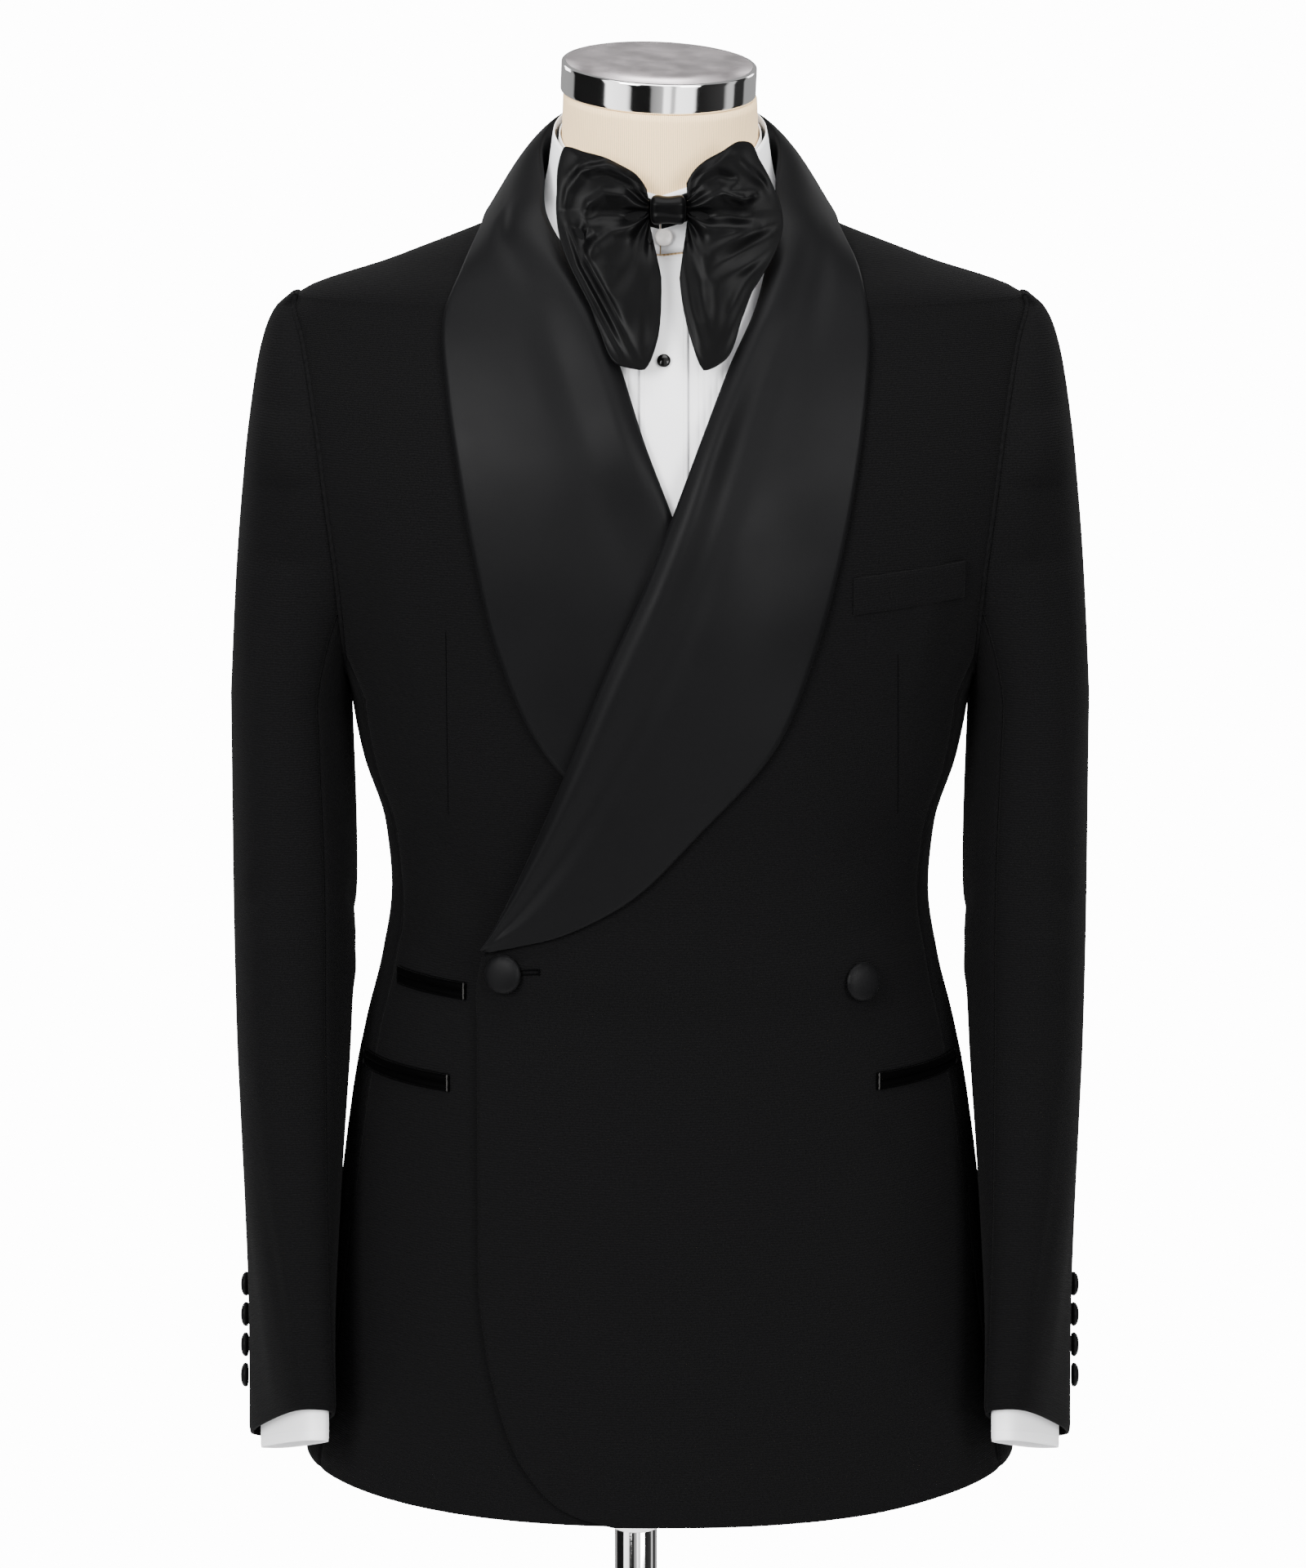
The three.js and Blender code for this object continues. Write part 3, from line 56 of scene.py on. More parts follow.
# The hem's rise at the sides, which fades over a height
HEM_LIFT, HEM_FADE = 9.0, 120.0
# The fronts' straight edge below the button, and where the skirt starts to round off
EDGE_X, SKIRT_Z = 107.5, 890.0
# How far the left front stands off, low and high, where that changes, and how it ends past the right front
LAP_LOW, LAP_HIGH, LAP_Z, LAP_RISE, LAP_WIDTH, LAP_FADE = 3.0, 8.0, 1040.0, 40.0, 70.0, 60.0
# Radius at the axis of a turned form, where its points meet
TIP = 0.001
FORWARD = np.array([0.0, -1.0, 0.0])

# Body of the jacket: height, half width, depth in front and behind, squareness
BODY = np.array([
    (742, 220, 146, 128, 2.35), (860, 205, 138, 124, 2.35), (980, 188, 128, 112, 2.3),
    (1022, 180, 124, 104, 2.3), (1063, 170, 120, 97, 2.25), (1104, 164, 118, 94, 2.2),
    (1145, 168, 120, 97, 2.2), (1185, 180, 124, 102, 2.25), (1225, 186.6, 127, 107, 2.3),
    (1300, 191, 129, 112, 2.3), (1343, 196, 126, 113, 2.3), (1400, 204, 116, 109, 2.2),
    (1440, 212, 100, 98, 2.1), (1462, 218, 90, 90, 2), (1485, 160, 78, 80, 2),
    (1508, 101, 66, 72, 2), (1520, 76, 60, 67, 2)])
SKIRT_EDGE = [
    (742, -28), (747, -48), (754, -62), (767, -75), (786, -87), (813, -96), (845, -103),
    (890, -EDGE_X), (1050, -EDGE_X), (1080, -102)]
LEFT_EDGE = np.array(SKIRT_EDGE + [
    (1113, -88), (1149, -73), (1192, -56), (1254, -32), (1306, -9), (1344, 6), (1404, 29),
    (1445, 46), (1470, 58), (1500, 71), (1514, 77)])
RIGHT_EDGE = np.array(SKIRT_EDGE + [
    (1149, -77), (1192, -62), (1254, -40), (1306, -21), (1349, -6), (1368, 3), (1406, 15),
    (1437, 25), (1474, 41), (1502, 61), (1514, 73)])
# Sleeve: height, centre x and y, half thickness, half depth, turn, squareness, slope
SLEEVE = np.array([
    (780, 224.5, -65, 17.5, 58, 21, 3, 0.48), (840, 225, -50, 22, 61, 15, 2.8, 0.36),
    (906, 224.7, -35, 28, 65, 9, 2.6, 0.24), (1016, 223.5, -15, 35, 70, 3.5, 2.4, 0.13),
    (1117, 222, -5, 37.5, 73, 1, 2.35, 0.04), (1225, 223.1, 0, 36.1, 74, 0, 2.3, 0)])
SLEEVE_HEAD = np.array([
    (1225, 259.2), (1247, 258), (1307, 254.5), (1346, 251), (1386, 246.5), (1425, 240.5),
    (1444, 235.5), (1456, 229.5), (1464, 220.5)])
# Shawl collar: roll line x, z and outer edge x, z, from the button up to the shoulder
LEFT_SHAWL = [
    (-101, 1085, -96, 1084), (-96.5, 1094, -80, 1089), (-88, 1113, -55, 1097.5),
    (-73, 1149, -16, 1121), (-56, 1192, 21, 1160), (-32, 1254, 66, 1213), (-9, 1306, 90, 1268),
    (6, 1344, 103, 1315), (24, 1391, 113, 1366), (40, 1431, 119, 1412), (56, 1466, 121, 1450)]
RIGHT_SHAWL = [
    (-98.5, 1089, -92, 1087), (-95.5, 1096, -80, 1092), (-90, 1113, -55, 1100),
    (-77, 1149, -15, 1123), (-62, 1192, 24, 1160), (-40, 1254, 70, 1211), (-21, 1306, 95, 1268),
    (-6, 1349, 107, 1318), (9, 1388, 117, 1370), (24, 1433, 124, 1418), (41, 1473, 126, 1455)]
COLLAR = [
    ((68, -50, 1513), (66, -54, 1514), (117, -60, 1483)),
    ((75, -29, 1518), (68, -28, 1534), (108, -32, 1503)),
    ((78, 4, 1518), (69, 6, 1554), (102, 8, 1514)),
    ((58, 46, 1515), (53, 51, 1570), (79, 66, 1515)),
    ((28, 64, 1514.6), (27, 71, 1574), (41, 90, 1515)),
    ((0, 68, 1514.6), (0, 77, 1575), (0, 97, 1515))]
SHAWL_RISE = np.array([(0, 1), (0.05, 4.6), (0.14, 6.8), (0.3, 6), (0.6, 4.2), (1, 3.4)])
# Form: height, half width, depth in front and behind, squareness
FORM = np.array([
    (762, 150, 108, 98, 2.2), (778, 164, 116, 107, 2.2), (880, 172, 120, 111, 2.2),
    (980, 170, 115, 103, 2.2), (1042, 162, 110, 89, 2.2), (1104, 152, 106, 82, 2.1),
    (1165, 158, 109, 89, 2.1), (1225, 168, 114, 96, 2.2), (1300, 173, 117, 101, 2.2),
    (1360, 177, 112, 101, 2.2), (1410, 180, 101, 96, 2.1), (1440, 174, 86, 87, 2),
    (1462, 160, 76, 79, 2), (1485, 118, 64, 69, 2), (1505, 78, 57, 61, 2),
    (1520, 63, 56, 58, 2), (1545, 59, 56, 57, 2), (1581.3, 57.5, 56.5, 56.5, 2)])
# Shirt collar: angle from the front, band's lower edge, top, leaf's lower edge
NECK = np.array([
    (0, 1492, 1527, 1493), (40, 1500, 1541, 1499), (90, 1518, 1561, 1521),
    (140, 1530, 1576, 1536), (180, 1534, 1581, 1540)])
PLACKET_X, PLACKET_RISE = 2.0, 2.0
PLEAT_START, PLEAT_PITCH, PLEAT_COUNT = 17.5, 3.5, 10
SHIRT_HEM, YOKE_Z, YOKE_TOP = 800.0, 1461.5, 1512.0
BOW_X, BOW_Y, BOW_Z = 4.5, -74.5, 1519.0
KNOT_X, KNOT_Y, KNOT_Z = 10.5, 8.0, 8.5
LEFT_WING = np.array([
    (82, 15), (74, 23), (65, 31), (56, 40), (50, 51), (43, 55), (32, 53), (16, 54), (2, 57), (-12, 59),
    (-32, 58.5), (-46, 60), (-60, 69), (-74, 87), (-82, 90), (-87, 69), (-93, 38)])
RIGHT_WING = np.array([
    (72, 12), (64, 22), (54, 31), (46, 42), (40, 51), (34.5, 63), (25, 61), (8, 57), (-8, 56.5),
    (-25, 57), (-40, 59), (-54, 64), (-65, 74), (-77, 88.5), (-86, 89), (-92, 72), (-97, 38)])
# Buttons: radius and depth; sleeve buttons: lowest one's height, pitch, count and angle on the sleeve
FRONT_BUTTON, CUFF_BUTTON = (11.5, 5.5), (7.5, 5.0)
CUFF_BUTTON_Z, CUFF_BUTTON_PITCH, CUFF_BUTTONS, CUFF_BUTTON_ANGLE = 812.0, 17.0, 4, -42.0
STUD_Z, COLLAR_BUTTON_Z, COLLAR_BUTTON_OUT = 1435.0, 1502.0, 1.8
# Shirt cuff: lower edge, upper edge, inset in the sleeve, thickness and slope
CUFF_LOW, CUFF_HIGH, CUFF_INSET, CUFF_WALL, CUFF_SLOPE = 768.0, 823.0, 6.0, 1.4, 0.385
# Steel cap on the neck, tipped forward and to one side, in degrees
CAP_R, CAP_H, CAP_TOP, CAP_PITCH, CAP_ROLL = 58.0, 18.0, 1600.0, 10.0, 2.4
FORM_LOW, FORM_TOP, FORM_TILT_Z = 762.0, 1581.3, 1525.0
POLE_X, POLE_R, POLE_COLLAR_R, POLE_COLLAR_H, FOOT_Z = -15.0, 13.25, 15.0, 70.0, 32.0
# Turned profiles, as (radius, height)
BASE = [(TIP, 0), (187, 0), (189.4, 0.8), (190, 2.4), (190, 7), (189, 8.8), (186, 10), (34, 12), (30, 13),
        (27.5, 14.6), (26, 17), (20, 28), (17.25, FOOT_Z), (TIP, FOOT_Z)]
STUD = [(TIP, 0), (3.2, 0), (3.8, 0.5), (4, 1.1), (3.8, 1.8), (2.8, 2.4), (TIP, 2.6)]
COLLAR_BUTTON = [(TIP, 0), (4.6, 0), (5.2, 0.6), (5.2, 1.4), (4.4, 2.1), (3.6, 1.7), (TIP, 1.6)]


# Small maths, on arrays

def mix(a, b, t):
    return a + (b - a) * t


def smooth(t):
    t = np.clip(t, 0, 1)
    return t * t * (3 - 2 * t)


def spow(v, p):
    return np.sign(v) * np.abs(v) ** p


def rad(a):
    return np.asarray(a, float) * math.pi / 180


def pair(a, b):
    """Two numbers or arrays as arrays of one shape."""
    return np.broadcast_arrays(np.asarray(a, float), np.asarray(b, float))


def turns(count):
    """Angles all round, in radians."""
    return np.linspace(0, 2 * math.pi, count, endpoint=False)


def hand(side):
    return "left" if side > 0 else "right"


def curve(table, column):
    """A smooth curve of one column of a table over its first one, without overshoot."""
    table = table[np.argsort(table[:, 0])].astype(float)
    k, v = table[:, 0], table[:, column]
    rise = np.diff(v) / np.diff(k)
    slope = np.zeros(len(v))
    slope[0], slope[-1] = rise[0], rise[-1]
    product = rise[:-1] * rise[1:]
    total = np.where(rise[:-1] + rise[1:] == 0, 1, rise[:-1] + rise[1:])
    slope[1:-1] = np.where(product <= 0, 0, 2 * product / total)

    def at(x):
        x = np.clip(np.asarray(x, float), k[0], k[-1])
        i = np.clip(np.searchsorted(k, x, "right") - 1, 0, len(k) - 2)
        span = k[i + 1] - k[i]
        t = (x - k[i]) / span
        h = t * t * (3 - 2 * t)
        return (mix(v[i], v[i + 1], h) + slope[i] * span * t * (1 - t) ** 2
                + slope[i + 1] * span * t * t * (t - 1))
    return at


body_w, body_f, body_b, body_s = (curve(BODY, c) for c in (1, 2, 3, 4))
form_w, form_f, form_b, form_s = (curve(FORM, c) for c in (1, 2, 3, 4))
sl_x, sl_y, sl_thick, sl_deep, sl_turn, sl_square, sl_slope = (curve(SLEEVE, c) for c in range(1, 8))
head_x = curve(SLEEVE_HEAD, 1)
edge_of = {1: curve(LEFT_EDGE, 1), -1: curve(RIGHT_EDGE, 1)}
band_low, collar_top, leaf_low = (curve(NECK, c) for c in (1, 2, 3))
shawl_rise = curve(SHAWL_RISE, 1)


# The body's surface

def armhole(z, trim=0.0):
    """Angle of the armhole's edge round the body; 90 where there is none."""
    z = np.asarray(z, float)
    inside = np.clip(1 - ((z - ARM_MID) / (ARM_HALF - trim)) ** 2, 0, 1)
    share = (ARM_SHARE - trim / BODY_DEPTH) * np.sqrt(inside)
    angle = np.degrees(np.arccos(np.clip(share, 0, 1) ** (body_s(z) / 2)))
    return np.where((z <= ARM_LOW + trim) | (z >= ARM_TOP - trim), 90.0, angle)


def armhole_floor(angle):
    """Height at which the lower half of the armhole crosses an angle."""
    z = np.linspace(ARM_LOW, ARM_MID, 400)
    a = armhole(z)
    target = np.minimum(angle, 180 - np.asarray(angle, float))
    return np.interp(-target, -a, z)


def body_width(z):
    return body_w(z) / np.sin(rad(armhole(z))) ** (2 / body_s(z))


def body_surface(z, angle):
    t, power = rad(angle), 2 / body_s(z)
    depth = np.where(np.cos(t) > 0, body_f(z), body_b(z))
    lift = HEM_LIFT * np.sin(t) ** 2 * np.clip(1 - (z - HEM_Z) / HEM_FADE, 0, 1)
    return np.stack([body_width(z) * spow(np.sin(t), power), -depth * spow(np.cos(t), power),
                     z + lift], axis=-1)


def unit(v):
    return v / np.maximum(np.linalg.norm(v, axis=-1, keepdims=True), 1e-9)


def body_normal(z, angle, step=0.4):
    round_it = body_surface(z, angle + step) - body_surface(z, angle - step)
    up = body_surface(z + step, angle) - body_surface(z - step, angle)
    return unit(np.cross(round_it, up))


def body_point(z, angle, out=0.0):
    z, angle = pair(z, angle)
    return body_surface(z, angle) + body_normal(z, angle) * np.asarray(out)[..., None]


def angle_at(z, x):
    share = np.clip(x / body_width(z), -1, 1)
    return np.degrees(np.arcsin(spow(share, body_s(z) / 2)))


def rise_of(side, z, x):
    """How far the left front stands off, over the right one and its collar."""
    if side < 0:
        return np.zeros(np.broadcast(z, x).shape)
    under = np.where(z < SKIRT_Z, EDGE_X, -edge_of[-1](z))
    return mix(LAP_LOW, LAP_HIGH, smooth((z - LAP_Z) / LAP_RISE)) * smooth((under + LAP_WIDTH - x) / LAP_FADE)


def gap(z):
    """Half of the gap at a seam, in degrees round the body."""
    return SEAM / 2 / rad(body_f(z))


# Listed folds

def near_line(a, b, points):
    """Distance of each (a, b) from a line of points, and its place along it from 0 to 1."""
    pts = np.asarray(points, float)
    lengths = np.linalg.norm(np.diff(pts, axis=0), axis=1)
    starts = np.concatenate([[0], np.cumsum(lengths)])
    best = np.full(np.broadcast(a, b).shape, 1e9)
    along = np.zeros(best.shape)
    for p, q, length, start in zip(pts[:-1], pts[1:], lengths, starts):
        dx, dy = (q - p) / length
        t = np.clip((a - p[0]) * dx + (b - p[1]) * dy, 0, length)
        d = np.hypot(a - p[0] - t * dx, b - p[1] - t * dy)
        nearer = d < best
        best = np.where(nearer, d, best)
        along = np.where(nearer, (start + t) / starts[-1], along)
    return best, along


def folds(a, b, table):
    """Troughs (negative depth) and ridges, each a line of points with a width and a depth."""
    out = np.zeros(np.broadcast(a, b).shape)
    for points, width, depth in table:
        d, t = near_line(a, b, points)
        uneven = 1 + 0.25 * np.sin(9 * t + points[0][0] * 0.05)
        faded = np.sin(np.pi * np.clip(t, 0.03, 0.97)) ** 0.6
        out += depth * uneven * faded * np.exp(-(d / width) ** 2)
    return out


# Meshes

def grid_normals(p, outward):
    along = np.gradient(p, axis=0)
    across = np.gradient(p, axis=1)
    n = unit(np.cross(across, along))
    r, c = p.shape[0] // 2, p.shape[1] // 2
    return n if np.dot(n[r, c], outward) > 0 else -n


def arc_uv(p):
    """Metres along the two ways of a grid, for the weave."""
    u = np.concatenate([np.zeros((p.shape[0], 1)),
                        np.cumsum(np.linalg.norm(np.diff(p, axis=1), axis=-1), axis=1)], axis=1)
    v = np.concatenate([np.zeros((1, p.shape[1])),
                        np.cumsum(np.linalg.norm(np.diff(p, axis=0), axis=-1), axis=0)], axis=0)
    m = p.shape[1] // 2
    return np.stack([u - u[:, m:m + 1], v[:, m:m + 1] + 0 * u], axis=-1) / 1000


def quads(a, b):
    """Faces between the rows of a grid of point numbers, b being the next column's."""
    return np.stack([a[:-1], b[:-1], b[1:], a[1:]], -1).reshape(-1, 4)


def ring_quads(rows, cols):
    """Faces of a grid whose last column joins its first."""
    idx = np.arange(rows * cols).reshape(rows, cols)
    return quads(idx, np.roll(idx, -1, axis=1))


def weld(piece, distance):
    piece.modifiers.new("weld", "WELD").merge_threshold = distance


def add_mesh(name, points, faces, flat_from, uv, material, nodes=()):
    """A mesh piece that rides on the body. Faces from the number flat_from on are its cut edge."""
    points = np.asarray(points, float) / 1000
    faces = np.asarray(faces, int)
    a, b, c, d = (points[faces[:, i]] for i in range(4))
    volume = (a * np.cross(b, c)).sum() + (a * np.cross(c, d)).sum()
    if volume < 0:
        faces = faces[:, ::-1]
    mesh = bpy.data.meshes.new(name)
    mesh.vertices.add(len(points))
    mesh.vertices.foreach_set("co", points.astype(np.float32).ravel())
    mesh.loops.add(faces.size)
    mesh.loops.foreach_set("vertex_index", faces.astype(np.int32).ravel())
    mesh.polygons.add(len(faces))
    mesh.polygons.foreach_set("loop_start", np.arange(0, faces.size, 4, dtype=np.int32))
    shade = np.ones(len(faces), bool)
    shade[flat_from:] = False
    mesh.polygons.foreach_set("use_smooth", shade)
    layer = mesh.uv_layers.new(name="UVMap")
    layer.data.foreach_set("uv", np.asarray(uv, np.float32)[faces.ravel()].ravel())
    mesh.update(calc_edges=True)
    mesh.validate()
    piece = bpy.data.objects.new(name, mesh)
    bpy.context.scene.collection.objects.link(piece)
    mesh.materials.append(material)
    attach(piece, "root")
    if nodes:
        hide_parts(*nodes)
    return piece


def shell(name, outer, inner, material, slot, nodes, held, rests, ring=False):
    """A closed wall of cloth between two grids, with its cut. ring joins its last column to its first."""
    rows, cols = outer.shape[:2]
    size = rows * cols
    idx = np.arange(size).reshape(rows, cols)
    a, b = (idx, np.roll(idx, -1, axis=1)) if ring else (idx[:, :-1], idx[:, 1:])
    front = quads(a, b)
    back = front[:, ::-1] + size
    rims = [(a[0], b[0]), (b[-1], a[-1])]
    if not ring:
        rims += [(idx[1:, 0], idx[:-1, 0]), (idx[:-1, -1], idx[1:, -1])]
    faces = np.concatenate([front, back, *[np.stack([p, p + size, q + size, q], -1) for p, q in rims]])
    uv = arc_uv(outer).reshape(-1, 2)
    piece = add_mesh(name, np.concatenate([outer.reshape(-1, 3), inner.reshape(-1, 3)]), faces,
                     len(front) * 2, np.concatenate([uv, uv]), material, nodes)
    closed = np.concatenate([outer, outer[:, :1]], axis=1) if ring else outer
    wide = np.linalg.norm(np.diff(closed, axis=1), axis=-1).sum(1).max() / 1000
    long = np.linalg.norm(np.diff(outer, axis=0), axis=-1).sum(0).max() / 1000
    q = closed / 1000
    d1, d2 = q[1:, 1:] - q[:-1, :-1], q[1:, :-1] - q[:-1, 1:]
    area = float(np.linalg.norm(np.cross(d1, d2), axis=-1).sum() / 2)
    long = min(max(long, area / wide), area / (0.35 * wide))


def tube(name, path, radius, material, sides=8, ref=None):
    """A thread or a low ridge along a line of points, tapered at its ends."""
    path = np.asarray(path, float)
    tangent = unit(np.gradient(path, axis=0))
    if ref is None:
        ref = (0.0, 0.0, 1.0) if abs(tangent[0][2]) < 0.9 else (1.0, 0.0, 0.0)
    n1 = unit(np.cross(tangent, ref))
    n2 = np.cross(tangent, n1)
    turn = turns(sides)
    r = np.full(len(path), float(radius))
    r[0] = r[-1] = radius * 0.35
    rings = path[:, None] + (r[:, None, None] * (np.cos(turn)[None, :, None] * n1[:, None]
                                                + np.sin(turn)[None, :, None] * n2[:, None]))
    rows = len(path)
    round_it = ring_quads(rows, sides)
    first = np.arange(sides)
    last = (rows - 1) * sides + first[::-1]
    ends = [[end[k], end[sides - 1 - k], end[sides - 2 - k], end[k + 1]]
            for end in (first, last) for k in range(sides // 2 - 1)]
    uv = np.stack([np.tile(turn * radius / 1000, rows), np.repeat(np.arange(rows) * 0.001, sides)], -1)
    add_mesh(name, rings.reshape(-1, 3), np.concatenate([round_it, ends]), len(round_it), uv, material)


def turned(name, profile, axis_at, axis, material, segments=64, nodes=(), dent=None):
    """A solid of revolution: profile of (radius, height) along the axis from a point."""
    profile = np.asarray(profile, float)
    axis = unit(np.asarray(axis, float))
    ref = np.array([1.0, 0, 0]) if abs(axis[0]) < 0.7 else np.array([0, 1.0, 0])
    e1 = unit(np.cross(axis, ref))
    e2 = np.cross(axis, e1)
    t = turns(segments)
    r, h = profile[:, 0][:, None], profile[:, 1][:, None]
    wobble = 0 if dent is None else dent(r, h, t[None, :])
    p = (np.asarray(axis_at, float) + (r * np.cos(t))[..., None] * e1 + (r * np.sin(t))[..., None] * e2
         + (h + wobble)[..., None] * axis)
    faces = ring_quads(len(profile), segments)
    length = np.cumsum(np.hypot(*np.diff(profile, axis=0, prepend=profile[:1]).T))[:, None]
    uv = np.stack(np.broadcast_arrays(t * r, length + 0 * t), -1).reshape(-1, 2) / 1000
    weld(add_mesh(name, p.reshape(-1, 3), faces, len(faces), uv, material, nodes), 1e-6)


# Materials

def node_material(name, color, roughness, metallic=0.0, **sockets):
    m = bpy.data.materials.new(name)
    m.use_nodes = True
    shader = m.node_tree.nodes["Principled BSDF"]
    shader.inputs["Base Color"].default_value = (*color, 1)
    shader.inputs["Roughness"].default_value = roughness
    shader.inputs["Metallic"].default_value = metallic
    for key, value in sockets.items():
        shader.inputs[key.replace("_", " ")].default_value = value
    return m, m.node_tree, shader


def link(tree, a, out, b, into):
    tree.links.new(a.outputs[out], b.inputs[into])


def texture(tree, kind, source, scale, **values):
    """A noise or wave texture on the cloth's own metres (UV) or on the object's."""
    coords = tree.nodes.new("ShaderNodeTexCoord")
    n = tree.nodes.new(kind)
    link(tree, coords, source, n, "Vector")
    n.inputs["Scale"].default_value = scale
    for key, value in values.items():
        if key in n.inputs:
            n.inputs[key].default_value = value
        else:
            setattr(n, key, value)
    return n


def ramp(tree, source, low, high, at, shader, socket):
    """A socket of the shader, from one colour to another by a texture."""
    r = tree.nodes.new("ShaderNodeValToRGB")
    ends = r.color_ramp.elements
    ends[0].color, ends[1].color = (*low, 1), (*high, 1)
    ends[0].position, ends[1].position = at
    link(tree, source, "Fac", r, "Fac")
    link(tree, r, "Color", shader, socket)


def shades(tree, shader, source, color, low, high, at=(0.3, 0.7)):
    ramp(tree, source, [v * low for v in color], [min(1, v * high) for v in color], at, shader, "Base Color")


def dull(tree, shader, source, roughness, low, high):
    ramp(tree, source, [roughness * low] * 3, [roughness * high] * 3, (0.3, 0.7), shader, "Roughness")


def bump(tree, shader, source, distance, strength, before=None):
    b = tree.nodes.new("ShaderNodeBump")
    b.inputs["Distance"].default_value = distance
    b.inputs["Strength"].default_value = strength
    link(tree, source, "Fac", b, "Height")
    if before:
        link(tree, before, "Normal", b, "Normal")
    link(tree, b, "Normal", shader, "Normal")
    return b


def wool_material():
    c = (0.0026, 0.00255, 0.0027)
    m, t, s = node_material("wool", c, 0.85, Specular_IOR_Level=0.022, Sheen_Weight=0.008,
                            Sheen_Roughness=0.5)
    grain = texture(t, "ShaderNodeTexNoise", "UV", 900, Detail=3.0, Roughness=0.65)
    shades(t, s, grain, c, 0.72, 1.42, (0.32, 0.7))
    weave = texture(t, "ShaderNodeTexWave", "UV", 210, bands_direction="Y", Distortion=5.0, Detail=3.0)
    first = bump(t, s, weave, 0.0003, 0.7)
    bump(t, s, grain, 0.00035, 0.55, first)
    return m


def satin_material(name, tone, roughness, spec, weave=0.35):
    c = tuple(v * tone for v in (0.0024, 0.0024, 0.0026))
    m, t, s = node_material(name, c, roughness, Specular_IOR_Level=spec, Sheen_Weight=0.01,
                            Sheen_Roughness=0.35, Anisotropic=0.3)
    fine = texture(t, "ShaderNodeTexNoise", "UV", 1500, Detail=2.0)
    shades(t, s, fine, c, 0.85, 1.18)
    cloudy = texture(t, "ShaderNodeTexNoise", "UV", 18, Detail=2.0)
    dull(t, s, cloudy, roughness, 0.92, 1.1)
    bump(t, s, fine, 0.00012, weave)
    return m


def cotton_material():
    c = (0.80, 0.80, 0.815)
    m, t, s = node_material("shirting", c, 0.75, Specular_IOR_Level=0.3, Sheen_Weight=0.08)
    weave = texture(t, "ShaderNodeTexNoise", "UV", 1800, Detail=2.0)
    shades(t, s, weave, c, 0.965, 1.02)
    bump(t, s, weave, 0.00012, 0.5)
    return m


def knit_material():
    c = (0.89, 0.645, 0.355)
    m, t, s = node_material("knit_cover", c, 0.9, Specular_IOR_Level=0.2, Sheen_Weight=0.1)
    ribs = texture(t, "ShaderNodeTexWave", "UV", 250, bands_direction="X", Distortion=0.2)
    shades(t, s, ribs, c, 0.78, 1.06, (0.1, 0.6))
    fuzz = texture(t, "ShaderNodeTexNoise", "UV", 1400, Detail=2.0)
    first = bump(t, s, ribs, 0.0002, 0.6)
    bump(t, s, fuzz, 0.0002, 0.4, first)
    return m


def steel_material(name, color, roughness, grain, depth):
    m, t, s = node_material(name, color, roughness, 1.0)
    scratch = texture(t, "ShaderNodeTexNoise", "Object", 60, Detail=4.0)
    dull(t, s, scratch, roughness, 0.8, 1.2)
    fine = texture(t, "ShaderNodeTexNoise", "Object", grain, Detail=2.0)
    bump(t, s, fine, depth, 0.5)
    return m


def gloss_material(name, color, roughness, coat):
    m, t, s = node_material(name, color, roughness, Specular_IOR_Level=coat, Coat_Weight=coat / 2,
                            Coat_Roughness=0.06)
    n = texture(t, "ShaderNodeTexNoise", "Object", 240, Detail=2.0)
    shades(t, s, n, color, 0.9, 1.08)
    return m


def thread_material(name, color, shine):
    m, t, s = node_material(name, color, 0.6, Specular_IOR_Level=shine, Sheen_Weight=shine / 4)
    n = texture(t, "ShaderNodeTexWave", "UV", 900, bands_direction="DIAGONAL")
    shades(t, s, n, color, 0.7, 1.2)
    bump(t, s, n, 0.0001, 0.6)
    return m


wool = wool_material()
satin = satin_material("satin", 1.2, 0.46, 0.048)
bow_satin = satin_material("bow_satin", 0.5, 0.38, 0.045, 0.15)
# The jets are the collar's black satin, painted much darker and duller: painted shade of the pocket mouths
jet_satin_painted_shade = satin_material("jet_satin_painted_shade", 0.2, 0.5, 0.008)
cotton = cotton_material()
knit = knit_material()
chrome = steel_material("chrome", (0.86, 0.85, 0.85), 0.07, 300, 0.00001)
brushed = steel_material("brushed_steel", (0.47, 0.43, 0.44), 0.42, 2200, 0.00006)
onyx = gloss_material("onyx", (0.002, 0.002, 0.002), 0.12, 0.12)
pearl = gloss_material("pearl", (0.80, 0.76, 0.73), 0.25, 0.6)
dark_thread = thread_material("dark_thread", (0.0008, 0.0008, 0.0009), 0.01)
# The front bar tacks' black thread is painted lighter than the back tacks': a painted glint
tack_thread_painted_glint = thread_material("tack_thread_painted_glint", (0.028, 0.027, 0.026), 0.1)


# Jacket

def rows_between(*stops):
    """Heights from (start, end, step) stretches, without repeats."""
    parts = [np.linspace(a, b, max(2, int(round((b - a) / step)) + 1)) for a, b, step in stops]
    return np.unique(np.round(np.concatenate(parts), 4))


def mirror(p, side):
    q = np.array(p, float)
    q[..., 0] *= side
    return q


